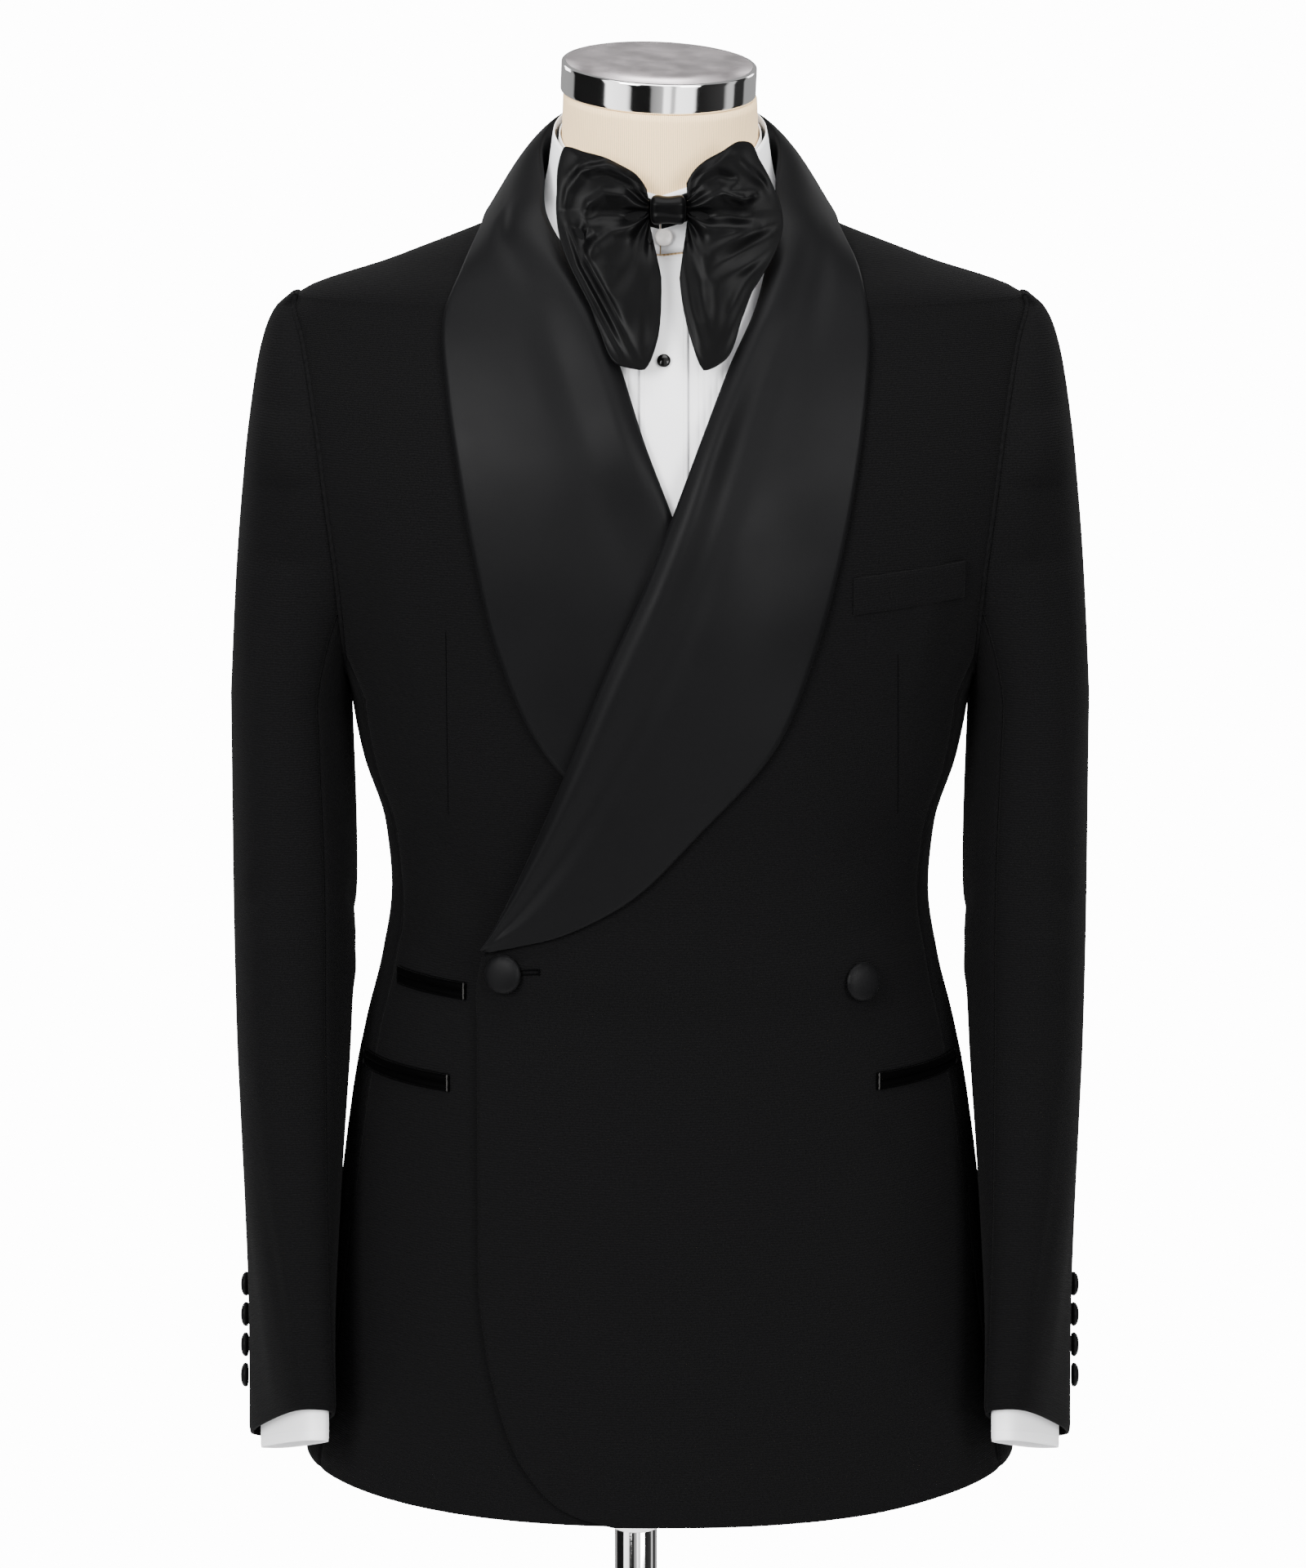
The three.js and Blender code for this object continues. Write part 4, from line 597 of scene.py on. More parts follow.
# Folds of the two fronts, as (x, z) lines on each one's own side, with width and depth
FRONT_FOLDS = {
    1: [([(178, 1330), (172, 1270), (163, 1215)], 11, -2.2),
        ([(160, 1345), (158, 1280), (148, 1225)], 9, 1.1),
        ([(60, 1120), (110, 1135), (155, 1150)], 16, -1.0),
        ([(20, 1075), (80, 1085), (150, 1105)], 14, -0.9),
        ([(128, 985), (150, 955), (178, 940)], 9, -1.1),
        ([(120, 960), (135, 900), (140, 820)], 22, 1.4),
        ([(60, 1000), (70, 900), (75, 790)], 26, -1.2),
        ([(-20, 1010), (-15, 900), (-20, 790)], 30, 0.9),
        ([(196, 960), (205, 860), (214, 760)], 12, -1.6),
        ([(-92, 1060), (-96, 960), (-92, 850)], 9, 0.8)],
    -1: [([(178, 1340), (173, 1275), (160, 1215)], 12, -2.4),
         ([(156, 1350), (154, 1290), (142, 1230)], 10, 1.2),
         ([(94, 1090), (112, 1120), (138, 1160)], 8, -1.6),
         ([(98, 1078), (125, 1100), (158, 1125)], 9, 1.1),
         ([(100, 1130), (108, 1180), (112, 1240)], 13, 1.4),
         ([(96, 1066), (130, 1072), (165, 1090)], 7, -1.0),
         ([(150, 985), (160, 900), (172, 800)], 16, -1.4),
         ([(125, 960), (128, 880), (135, 790)], 14, 1.1),
         ([(196, 960), (205, 860), (214, 760)], 12, -1.6)]}


def seam_roll(d, depth=0.7):
    """The cloth's turn inward beside a seam, from the distance to it."""
    return -depth * np.exp(-(d / 1.8) ** 2)


def side_wall(name, node, side, outer, inner, material, slot, held, rests, **more):
    """A wall worked out on +X, for either side."""
    shell(f"{name}_{hand(side)}", mirror(outer, side), mirror(inner, side), material, slot,
          (f"{node}_{hand(side)}",), held=held, rests=(rests,), **more)


def jacket_piece(name, node, side, base, normal, off, rests="form_torso"):
    """A wall of wool on a surface, pushed in or out by off."""
    outer = base + normal * off[..., None]
    side_wall(name, node, side, outer, outer - normal * WOOL, wool, "wool", "hung", rests)


def front_panel(side):
    z = rows_between((HEM_Z, 760, 1.2), (760, 790, 2), (790, 1070, 5), (1070, 1100, 2.5),
                     (1100, 1440, 4.5), (1440, 1465, 0.8), (1465, PANEL_TOP, 3))[:, None]
    back = 4.6 * smooth((z - 1080) / 8) + 4 * smooth((z - 1465) / 30)
    start = angle_at(z, edge_of[side](z) + back)
    floor = armhole_floor(FRONT_SEAM)
    side_angle = np.where(z > ARM_TOP, 90.0, np.where(z > floor, armhole(z), FRONT_SEAM))
    end = np.maximum(side_angle - gap(z), start + 1)
    share = np.linspace(0, 1, 84)[None, :]
    share = mix(share, share ** 1.15, 0.5)
    angle = mix(start, end, share)
    zz = np.broadcast_to(z, angle.shape)
    base = body_surface(zz, angle)
    x = base[..., 0]
    fade = smooth((x - x[:, :1]) / 20) * smooth((zz - HEM_Z) / 12)
    hem_wave = 0.7 * np.sin(x / 21 + 1.3 * side) * smooth((800 - zz) / 60)
    off = rise_of(side, zz, x) + seam_roll(x[:, -1:] - x)
    off = off + (folds(x, zz, FRONT_FOLDS[side]) + hem_wave) * fade
    jacket_piece("front", "jacket_front", side, base, body_normal(zz, angle), off)


# Folds of a side panel, as (angle round the body, z)
SIDE_FOLDS = [([(80, 1200), (95, 1100), (88, 1010)], 7, -1.3),
              ([(100, 1190), (108, 1110), (104, 1040)], 6, 0.9),
              ([(92, 960), (90, 860), (86, 760)], 9, -1.2)]


def side_panel(side):
    angles = np.linspace(FRONT_SEAM, BACK_SEAM, 26)[None, :]
    zz = mix(HEM_Z, armhole_floor(angles), np.linspace(0, 1, 92)[:, None])
    ang = angles + np.zeros(zz.shape)
    ang[:, 0] += gap(zz[:, 0])
    ang[:, -1] -= gap(zz[:, -1])
    reach = np.minimum(ang - ang[:, :1], ang[:, -1:] - ang) * 3.2
    off = folds(ang, zz, SIDE_FOLDS) * smooth(reach / 12) + seam_roll(reach)
    jacket_piece("side", "jacket_side", side, body_surface(zz, ang), body_normal(zz, ang), off)


# Folds of a back, as (x, z)
BACK_FOLDS = [([(150, 1350), (146, 1280), (140, 1220)], 13, -2.2),
              ([(125, 1360), (120, 1290), (118, 1230)], 12, 1.2),
              ([(20, 1130), (70, 1112), (130, 1120)], 10, -1.3),
              ([(10, 1095), (70, 1088), (125, 1078)], 9, 1.0),
              ([(70, 1050), (78, 930), (86, 780)], 20, 1.5),
              ([(125, 1030), (135, 920), (150, 780)], 18, -1.6),
              ([(15, 1490), (60, 1478), (110, 1470)], 10, -0.9)]


def back_panel(side):
    z = rows_between((HEM_Z, 1070, 6), (1070, 1440, 5), (1440, 1465, 1), (1465, PANEL_TOP, 3.5))[:, None]
    floor = armhole_floor(BACK_SEAM)
    start = np.where(z > ARM_TOP, 90.0, np.where(z > floor, 180 - armhole(z), BACK_SEAM)) + gap(z)
    angle = mix(start, 180 - gap(z), np.linspace(0, 1, 58)[None, :])
    zz = np.broadcast_to(z, angle.shape)
    base = body_surface(zz, angle)
    x = base[..., 0]
    seam_d = np.minimum(x, x[:, :1] - x)
    off = folds(x, zz, BACK_FOLDS) * smooth(seam_d / 14) + seam_roll(seam_d)
    jacket_piece("back", "jacket_back", side, base, body_normal(zz, angle), off)


def sleeve_half(z, front, inset=0.0, trim=0.0, depth=0.0, space=0.4, taper=0.0):
    """Centre x, half thickness, half depth, end angle at the body and squareness of a sleeve's half."""
    square = sl_square(z)
    low = z <= ARM_LOW + trim
    level = np.minimum(z, HEAD_TURN - trim)
    angle = armhole(level, trim)
    seam = body_surface(level, np.where(front, angle, 180 - angle))
    opening = np.maximum(np.abs(seam[..., 1]) - depth, 1)
    narrowed = sl_deep(z) - inset - taper * smooth((z - ARM_LOW) / 100)
    kept = 1 - smooth((z - ARM_MID) / 57)
    deep = np.maximum(mix(opening, narrowed, kept), opening)
    end = 180 - np.degrees(np.arcsin(np.clip(opening / deep, 0, 1) ** (square / 2)))
    outer = head_x(z + inset * 0.5) - inset
    inner = (seam[..., 0] - depth if trim else body_w(z)) + space
    thick = (outer - inner) / (1 + np.abs(np.cos(rad(end))) ** (2 / square))
    return (np.where(low, sl_x(z), outer - thick), np.where(low, sl_thick(z) - inset, thick),
            np.where(low, sl_deep(z) - inset, deep), np.where(low, 180.0, end), square)


def sleeve_end(z, front, **fit):
    return sleeve_half(z, np.full(z.shape, front), **fit)[3]


def sleeve_point(z, angle, **fit):
    z, angle = pair(z, angle)
    cx, thick, deep, _, square = sleeve_half(z, angle > 0, **fit)
    t = rad(angle)
    x = thick * spow(np.cos(t), 2 / square)
    y = -deep * spow(np.sin(t), 2 / square)
    turn = rad(sl_turn(z))
    tx, ty = x * np.cos(turn) + y * np.sin(turn), y * np.cos(turn) - x * np.sin(turn)
    return np.stack([cx + tx, sl_y(z) + ty, z - sl_slope(z) * ty], axis=-1)


def sleeve_normal(z, angle, **fit):
    round_it = sleeve_point(z, angle + 0.5, **fit) - sleeve_point(z, angle - 0.5, **fit)
    up = sleeve_point(z + 0.5, angle, **fit) - sleeve_point(z - 0.5, angle, **fit)
    return unit(np.cross(up, round_it))


# Folds of the sleeves, as (angle from the outermost line, z)
SLEEVE_FOLDS = [
    ([(62, 1380), (66, 1300), (60, 1200)], 9, -1.5), ([(40, 1400), (36, 1300), (30, 1180)], 14, 1.0),
    ([(88, 1130), (60, 1105), (30, 1096)], 8, -1.9), ([(95, 1085), (60, 1072), (25, 1070)], 8, 1.5),
    ([(92, 1048), (62, 1040), (35, 1044)], 7, -1.6), ([(85, 1010), (55, 1000), (28, 1008)], 9, 1.0),
    ([(48, 980), (52, 900), (56, 820)], 12, -1.2), ([(20, 960), (18, 880), (16, 800)], 14, 0.9),
    ([(-60, 1370), (-66, 1280), (-58, 1180)], 10, -1.3), ([(-90, 1110), (-60, 1092), (-30, 1090)], 9, -1.1),
    ([(-88, 1040), (-60, 1050), (-28, 1046)], 8, 0.9), ([(-45, 960), (-50, 890), (-52, 830)], 10, -0.9)]
UNDER_FOLDS = [
    ([(150, 1110), (180, 1085), (205, 1095)], 9, -1.6), ([(150, 1060), (185, 1050), (210, 1062)], 8, 1.1),
    ([(180, 980), (176, 900), (182, 830)], 10, -1.0)]


def sleeve_hem(z):
    return -0.8 * np.exp(-((z - SLEEVE_HEM) / 2.0) ** 2)


def upper_sleeve(side):
    z = rows_between((SLEEVE_HEM, 800, 2.5), (800, ARM_LOW, 4.5), (ARM_LOW, 1425, 4),
                     (1425, HEAD_Z, 1.5))[:, None]
    share = np.linspace(-1, 1, 81)[None, :]
    limit = np.minimum(SLEEVE_SEAM, np.where(share > 0, sleeve_end(z, True), sleeve_end(z, False)))
    angle = share * limit
    zz = np.broadcast_to(z, angle.shape)
    base = sleeve_point(zz, angle)
    normal = sleeve_normal(zz, angle)
    # The right sleeve has the same folds at other heights
    off = folds(angle * 1.05, zz if side > 0 else zz * 0.92 + 87.2, SLEEVE_FOLDS)
    reach = (limit - np.abs(angle)) * 1.1
    off = off * smooth(reach / 14) * smooth((1450 - zz) / 50) * smooth((zz - SLEEVE_HEM) / 20)
    off = off + seam_roll(reach, 0.5) + sleeve_hem(zz)
    face = base + normal * off[..., None]
    # The sleeve's cap bends over from its top row to the shoulder's ridge
    top, ridge_z = face[-1], ARM_TOP + 1.2
    ridge_angle = np.degrees(np.arccos(np.clip(-top[:, 1] / body_f(ridge_z), -1, 1)))
    over = np.linspace(0, 1, 7)[1:, None, None]
    cap = mix(top[None], body_point(ridge_z, ridge_angle, 0.35)[None], over)
    cap[..., 2] += 0.9 * np.sin(math.pi * over[..., 0])
    outer = np.concatenate([face, cap])
    inner = np.concatenate([face - normal * WOOL, cap - np.array([0, 0, 0.8])])
    side_wall("upper_sleeve", "sleeve_upper", side, outer, inner, wool, "wool", "hung", f"front_{hand(side)}")


def under_sleeve(side):
    seam = 0.7
    angles = np.linspace(SLEEVE_SEAM + seam, 360 - SLEEVE_SEAM - seam, 40)
    heights = np.linspace(ARM_LOW, ARM_MID, 300)
    tops = [np.interp(-min(a, 360 - a), -sleeve_end(heights, a < 180), heights) for a in angles]
    zz = mix(SLEEVE_HEM, np.array(tops)[None, :], np.linspace(0, 1, 100)[:, None])
    ang = np.where(angles <= 180, angles, angles - 360)[None, :] * np.ones_like(zz)
    reach = np.minimum(angles - angles[0], angles[-1] - angles)[None, :] * 1.2
    off = folds(angles[None, :], zz, UNDER_FOLDS) * smooth(reach / 14) + seam_roll(reach) + sleeve_hem(zz)
    jacket_piece("under_sleeve", "sleeve_under", side, sleeve_point(zz, ang), sleeve_normal(zz, ang), off,
                 f"upper_sleeve_{hand(side)}")


def armhole_roll(side):
    """The pressed seam of the armhole, a low ridge from the chest over the shoulder to the back."""
    z = ARM_MID + ARM_HALF * np.sin(rad(np.linspace(-62, 75, 80)))
    front, back = body_point(z, armhole(z), -0.8), body_point(z, 180 - armhole(z), -0.8)
    for half in (front, back):
        half[:, 0] += 0.7 * smooth((z - 1435) / 20)
    y = np.linspace(-13.2, 13.2, 15)
    top = np.stack([217.0 - 0.5 * np.cos(y / 9), y, 1462.6 + 0.7 * np.cos(y / 9)], axis=-1)
    line = np.concatenate([front, top, back[::-1]])
    tube(f"armhole_roll_{hand(side)}", mirror(line, side), 1.7, wool, 10, ref=(1.0, 0.0, 0.0))


def pressed_seam(name, side, angle, low, high):
    """A seam's pressed-in edge, just under the surface between two panels."""
    line = body_point(np.linspace(low, high, 120), angle, -1.25)
    tube(name, mirror(line, side), 1.0, wool)


def catmull(points, samples):
    """Centripetal Catmull-Rom through rows of points, at even shares."""
    p = np.asarray(points, float)
    n = len(p)
    p = np.concatenate([2 * p[:1] - p[1:2], p, 2 * p[-1:] - p[-2:-1]])
    at = np.linspace(0, 1, samples) * (n - 1)
    i = np.minimum(at.astype(int), n - 2)
    w = at - i
    p0, p1, p2, p3 = p[i], p[i + 1], p[i + 2], p[i + 3]

    def span(a, b):
        return np.maximum(np.sqrt(np.linalg.norm(a - b, axis=-1)), 1e-4)[..., None]
    d0, d1, d2 = span(p0, p1), span(p1, p2), span(p2, p3)
    t1 = ((p1 - p0) / d0 - (p2 - p0) / (d0 + d1) + (p2 - p1) / d1) * d1
    t2 = ((p2 - p1) / d1 - (p3 - p1) / (d1 + d2) + (p3 - p2) / d2) * d1
    w = w.reshape(-1, *([1] * (p1.ndim - 1)))
    return (p1 + t1 * w + (-3 * p1 + 3 * p2 - 2 * t1 - t2) * w ** 2
            + (2 * p1 - 2 * p2 + t1 + t2) * w ** 3)


# Shares of the collar's width from the roll line to its outer edge, closer together at the roll
ACROSS = np.concatenate([np.linspace(0, 0.14, 9), np.linspace(0.14, 1, 30)[1:]])


def on_front(side, x, z, out):
    """Places over a front, on +X for both sides, where the left front stands off."""
    x, z = pair(x, z)
    return body_point(z, angle_at(z, x), rise_of(side, z, x) + out)


def lapel_rows(side):
    """The collar's rows over a front. The right one lies flat where the left front covers it."""
    rows = []
    for rx, rz, ex, ez in (LEFT_SHAWL if side > 0 else RIGHT_SHAWL):
        shown = 1.0 if side > 0 else float(smooth((rz - 1350) / 60))
        up = shawl_rise(ACROSS)
        up = np.where(ACROSS == 0, up, mix(np.minimum(up, SHAWL_RISE[-1, 1]), up, shown))
        fall = on_front(side, mix(rx, ex, ACROSS), mix(rz, ez, ACROSS), up)
        lip = np.stack([on_front(side, rx + 0.6, rz, -WOOL), on_front(side, rx, rz, -0.6)])
        rows.append(np.concatenate([lip, fall]))
    return rows


def collar_rows():
    """The collar's rows round the neck, from the seam over the fold to the outer edge."""
    rows = []
    for seam, fold, edge in COLLAR:
        seam, fold, edge = (np.array(v, float) for v in (seam, fold, edge))
        radial = unit(np.array([edge[0], edge[1], 0.0]))
        stand = np.stack([seam, mix(seam, fold, 0.55)])
        fall = mix(fold[None], edge[None], ACROSS[:, None])
        fall = fall + radial * (6.5 * np.sin(math.pi * ACROSS ** 0.5))[:, None]
        rows.append(np.concatenate([stand, fall]))
    return rows


# Folds of the collar, as (share across from the roll line x 100, share along from the button x 500)
SHAWL_FOLDS = {
    1: [([(9, 10), (8, 140), (9, 300)], 5, 1.3), ([(24, 20), (27, 150), (25, 260), (31, 330)], 10, -3.3),
        ([(62, 40), (64, 160), (60, 270)], 22, 1.0), ([(44, 250), (48, 300), (50, 350)], 13, -1.2)],
    -1: [([(9, 150), (9, 300)], 5, 0.9), ([(22, 190), (30, 250), (36, 320)], 11, -2.2),
         ([(60, 100), (58, 220), (62, 300)], 22, 0.9), ([(30, 320), (40, 350), (48, 372)], 11, -1.2)]}


def shawl_half(side):
    sections = np.array(lapel_rows(side) + collar_rows())
    grid = catmull(sections, 190)
    grid[-1, :, 0] = SEAM / 2
    n = grid_normals(grid, FORWARD)
    along = np.linspace(0, 500, len(grid))[:, None]
    across = np.concatenate([[0, 0], ACROSS])[None, :] * 100
    off = folds(across, along, SHAWL_FOLDS[side])
    edge = smooth((100 - across) / 12) * smooth((across - 1) / 6) * smooth((along - 10) / 40)
    off = off * edge - 0.5 * np.exp(-((100 - across) / 1.6) ** 2)
    outer = grid + n * off[..., None]
    inner = grid - n * SATIN + n * np.minimum(off, 0)[..., None]
    outer[-1, :, 0] = inner[-1, :, 0] = SEAM / 2
    if side > 0:
        line = (outer[-1] - n[-1] * 0.85)[3:-2]
        line[:, 0] = 0
        tube("shawl_seam", line, 0.75, satin)
    side_wall("shawl", "shawl_collar", side, outer, inner, satin, "satin", "folded", f"front_{hand(side)}")


# Pockets, buttons and sewing

def on_body(side, x, z, out):
    return mirror(on_front(side, x, z, out), side)


# Section of a jetted pocket and of a welt, as (share of the half height, rise)
JET = np.array([(-1, 0.7), (-0.9, 1.25), (-0.7, 1.75), (-0.45, 1.85), (-0.2, 1.35), (-0.08, 0.5), (0, 0.25),
                (0.08, 0.5), (0.2, 1.35), (0.45, 1.85), (0.7, 1.75), (0.9, 1.25), (1, 0.7)])
WELT = np.array([(-1, 0.15), (-0.94, 0.45), (-0.7, 0.6), (0, 0.65), (0.7, 0.6), (0.94, 0.5), (1, 0.15)])


def pocket(name, node, side, fx, fz, bx, bz, half, profile, material, slot):
    """A pocket from its front end (fx, fz) to its back end (bx, bz). Jets have bar tacks and seams."""
    along = np.linspace(0, 1, 40)
    x, z = mix(fx, bx, along), mix(fz, bz, along)
    up, rise = profile[:, 0][:, None], profile[:, 1][:, None]
    sag = -0.25 * np.sin(math.pi * along) * (np.abs(up) < 0.5)
    outer = on_body(side, x, z + up * half, 0.6 + rise + sag)
    inner = on_body(side, x, z + up * half, 0.0)
    shell(name, outer, inner, material, slot, (node,), held="stretched", rests=(f"front_{hand(side)}",))
    if slot == "satin":
        reach = np.linspace(-half - 0.4, half + 0.4, 14)
        # The front tack's lighter thread is a painted glint; the back tack keeps the dark thread
        tube(f"{name}_tack", on_body(side, fx + 0.8, fz + reach, 2.2), 0.42, tack_thread_painted_glint)
        tube(f"{name}_tack_back", on_body(side, bx - 0.8, bz + reach, 2.1), 0.42, dark_thread)
        for k, edge in enumerate((-1, 1)):
            line = on_body(side, x, z + edge * (half + 0.5), 0.55)
            tube(f"{name}_seam_{k}", line, 0.28, dark_thread)


# Dome of a covered button, as shares of its radius and depth
DOME = np.array([(0.93, 0.16), (1, 0.34), (0.985, 0.48), (0.93, 0.62), (0.82, 0.76), (0.64, 0.88),
                 (0.4, 0.96), (0.18, 0.995)])


def button(name, node, size, at, outward):
    radius, depth = size
    profile = [(TIP, 0.25), (radius * 0.7, 0.25), *(DOME * size), (TIP, depth)]

    def pulled(r, h, t):
        edge = smooth((r / radius - 0.75) / 0.25) * (h < depth * 0.7)
        return 0.18 * edge * np.sin(t * 13 + radius)
    turned(name, profile, at, outward, satin, 52, (node,), pulled)


def front_button(name, node, side, x, z):
    """A covered button on the left front. The fastened one lies past the middle, on the wearer's right."""
    angle = angle_at(z, x)
    rise = float(rise_of(1, np.array(z), side * x)) + SEAM
    at = mirror(body_point(z, angle, rise), side)
    out = mirror(body_point(z, angle, rise + 1), side) - at
    button(name, node, FRONT_BUTTON, at, out)
    stem = at[None] + out[None] * np.linspace(-1.2, 1.2, 5)[:, None]
    tube(f"{name}_shank", stem, 2.2, dark_thread, 10)


def cuff_buttons(side):
    for i in range(CUFF_BUTTONS):
        z, angle = np.array(CUFF_BUTTON_Z + i * CUFF_BUTTON_PITCH), np.array(CUFF_BUTTON_ANGLE)
        out = sleeve_normal(z, angle)
        out = out * np.sign(out[0])
        name = f"button_{hand(side)}_{i + 1}"
        button(f"sleeve_{name}", f"cuff_{name}", CUFF_BUTTON,
               mirror(sleeve_point(z, angle) + out * SEAM, side), mirror(out, side))


def buttonhole():
    """The worked buttonhole beside the fastened button, two lines of close stitches."""
    start, end, height = -80.5, -69.5, 1073.2
    x = np.linspace(start, end, 24)
    for k, dz in enumerate((-1.3, 1.3)):
        line = on_front(1, x, height + (x - start) * 0.12 + dz, 0.5 + 0.12 * np.sin(x * 6))
        tube(f"buttonhole_edge_{k}", line, 0.45, dark_thread)
    bar = on_front(1, end + 0.2, np.linspace(height - 0.8, height + 3.4, 10), 0.6)
    tube("buttonhole_bar", bar, 0.6, dark_thread)


def dart(name, side, top, foot):
    x, z = np.linspace(top, foot, 60).T
    tube(name, on_body(side, x, z, folds(x, z, FRONT_FOLDS[side]) - 0.12), 0.3, dark_thread, 6)


# Shirt

def neck_point(angle, z, out):
    angle, z = pair(angle, z)
    t = rad(angle)
    depth = np.where(np.cos(t) > 0, form_f(z), form_b(z))
    return np.stack([(form_w(z) + out) * np.sin(t), -(depth + out) * np.cos(t), z], axis=-1)


def neck_angle(x):
    return np.degrees(np.arcsin(np.clip(x / 100, -1, 1)))


# Rows of the yoke, as (share of the height up to the neck, how much the row has left the body for it)
YOKE = [(0.15, 0), (0.3, 0), (0.45, 0), (0.6, 0), (0.72, 0.12), (0.85, 0.3), (0.93, 0.62), (1, 1)]


def shirt_wall(name, node, columns, neck_columns, rise, held_on):
    """columns(z) gives body angles, neck_columns angles round the neck, rise(to_neck) the stand-off."""
    rows = []
    for z in rows_between((SHIRT_HEM, ARM_LOW, 12), (ARM_LOW, 1400, 8), (1400, YOKE_Z, 5)):
        rows.append(body_point(z, columns(z), rise(0.0) - SHIRT_DEPTH))
    turn = np.minimum(np.abs(neck_columns), 360 - np.abs(neck_columns))
    nz = band_low(turn) - 1
    for share, to_neck in YOKE:
        z = mix(YOKE_Z, np.minimum(nz, YOKE_TOP), share)
        r = rise(to_neck)
        angle = np.array([columns(v)[i] for i, v in enumerate(z)])
        skin = body_point(z, angle, r - SHIRT_DEPTH)
        rows.append(mix(skin, neck_point(neck_columns, nz, 3.2 + r), to_neck))
    outer = np.array(rows)
    middle = outer[outer.shape[0] // 2, outer.shape[1] // 2]
    n = grid_normals(outer, np.array([middle[0], middle[1], 0.0]))
    shell(name, outer, outer - n * COTTON, cotton, "shirting", (node,), held="hung", rests=(held_on,))


def shirt_front(side):
    """A pleated front: ridges beside the placket, then plain cloth up to the armhole."""
    plain_columns, flanks = 14, np.array([0.0, 0.16, 0.9])
    pleats = (np.arange(PLEAT_COUNT)[:, None] + flanks).ravel()
    x = PLACKET_X + side * np.array([SEAM, *(PLEAT_START + pleats * PLEAT_PITCH)])
    pleat_end = PLACKET_X + side * (PLEAT_START + PLEAT_COUNT * PLEAT_PITCH)
    lift = np.array([0.0] + [0.05, 0.62, 0.28] * PLEAT_COUNT + [0.0] * plain_columns)

    def columns(z):
        start = abs(float(angle_at(z, pleat_end)))
        stop = max(float(armhole(z, SHIRT_TRIM)) - float(gap(z)), start + 1)
        return np.concatenate([angle_at(z, x), side * np.linspace(start, stop, plain_columns)])
    start = abs(float(neck_angle(pleat_end)))
    plain = side * np.linspace(start, 90 - float(gap(YOKE_Z)), plain_columns)
    shirt_wall(f"shirt_{hand(side)}", f"shirt_front_{hand(side)}", columns,
               np.concatenate([neck_angle(x), plain]), lambda t: lift * (1 - t), "form_torso")


def shirt_back():
    def columns(z):
        start = 180 - float(armhole(z, SHIRT_TRIM)) + float(gap(z))
        return np.linspace(start, 360 - start, 45)
    shirt_wall("shirt_rear", "shirt_back", columns, columns(YOKE_Z), lambda t: np.zeros(45), "form_torso")


def placket():
    half = np.array([(-14, -0.5), (-13.6, -0.1), (-12.6, 0), (-10, 0.05), (-5, 0.1), (0, 0.12)])
    across, lift = np.concatenate([half, half[-2::-1] * (-1, 1)]).T
    shirt_wall("placket", "shirt_placket", lambda z: angle_at(z, PLACKET_X + across),
               neck_angle(PLACKET_X + across), lambda t: PLACKET_RISE + lift, "shirt_left")
    z = np.linspace(1330, 1480, 260)
    for k, x in enumerate((PLACKET_X - 11.2, PLACKET_X + 11.2)):
        line = body_point(z, angle_at(z, x), PLACKET_RISE - SHIRT_DEPTH + 0.02 + 0.1 * np.sin(z * 2.1))
        tube(f"placket_stitch_{k}", line, 0.16, cotton, 6)


def neck_strip(name, node, start, rows, low, high, out, material, slot, held, rests):
    """A strip round the neck, open in front: low and high by angle, out by angle and share of the height."""
    share = np.linspace(0, 1, rows)[:, None]
    angle = np.linspace(start, 360 - start, 150)[None, :]
    turn = np.minimum(angle, 360 - angle)
    z = mix(low(turn), high(turn), share)
    stand = out(angle, share)
    rounded = 0.35 * (1 - smooth(np.minimum(share, 1 - share) * 8))
    outer = neck_point(angle, z, stand + COTTON - rounded)
    shell(name, outer, neck_point(angle, z, stand), material, slot, (node,), held=held, rests=(rests,))


def collar_pieces():
    neck_strip("collar_band", "shirt_collar_band", 0.2, 12, band_low, lambda t: collar_top(t) - 1.5,
               lambda a, s: 1.0, cotton, "shirting", "stretched", "form_torso")
    neck_strip("collar_leaf", "shirt_collar_leaf", 17, 16, leaf_low, collar_top,
               lambda a, s: 4.4 + (3.4 + 0.25 * np.sin(rad(a) * 5)) * (1 - s),
               cotton, "shirting", "folded", "collar_band")
    neck_strip("bow_band", "bow_strap", 0.4, 9, lambda t: collar_top(t) - 20, lambda t: collar_top(t) - 4,
               lambda a, s: 2.7 + 7.5 * np.maximum(0, np.cos(rad(a))) ** 60,
               bow_satin, "satin", "stretched", "collar_band")


def shirt_sleeve(side):
    fit = dict(inset=6.5, trim=SHIRT_TRIM, depth=SHIRT_DEPTH, space=1.3, taper=10.0)
    z = rows_between((CUFF_HIGH + 0.5, ARM_LOW, 12), (ARM_LOW, 1446, 8))[:, None]
    share = np.linspace(-1, 1, 49)[None, :]
    end = np.where(share > 0, sleeve_end(z, True, **fit), sleeve_end(z, False, **fit))
    angle = share * np.minimum(179.6, end)
    zz = np.broadcast_to(z, angle.shape)
    outer = sleeve_point(zz, angle, **fit)
    n = grid_normals(outer, np.array([1.0, 0.0, 0.0]))
    side_wall("inner_sleeve", "shirt_sleeve", side, outer, outer - n * COTTON, cotton, "shirting",
              "hung", f"upper_sleeve_{hand(side)}")


def cuff_point(z, angle, inset):
    """A place on the shirt's cuff, which follows the sleeve and goes on below its hem."""
    level = np.maximum(z, SLEEVE_HEM)
    p = sleeve_point(level, angle, inset=inset)
    across = p[..., 1] - sl_y(level)
    drift = (level - z) * 0.25
    return np.stack([p[..., 0] - 1.5, p[..., 1] - drift - 1.5, z - CUFF_SLOPE * across], axis=-1)


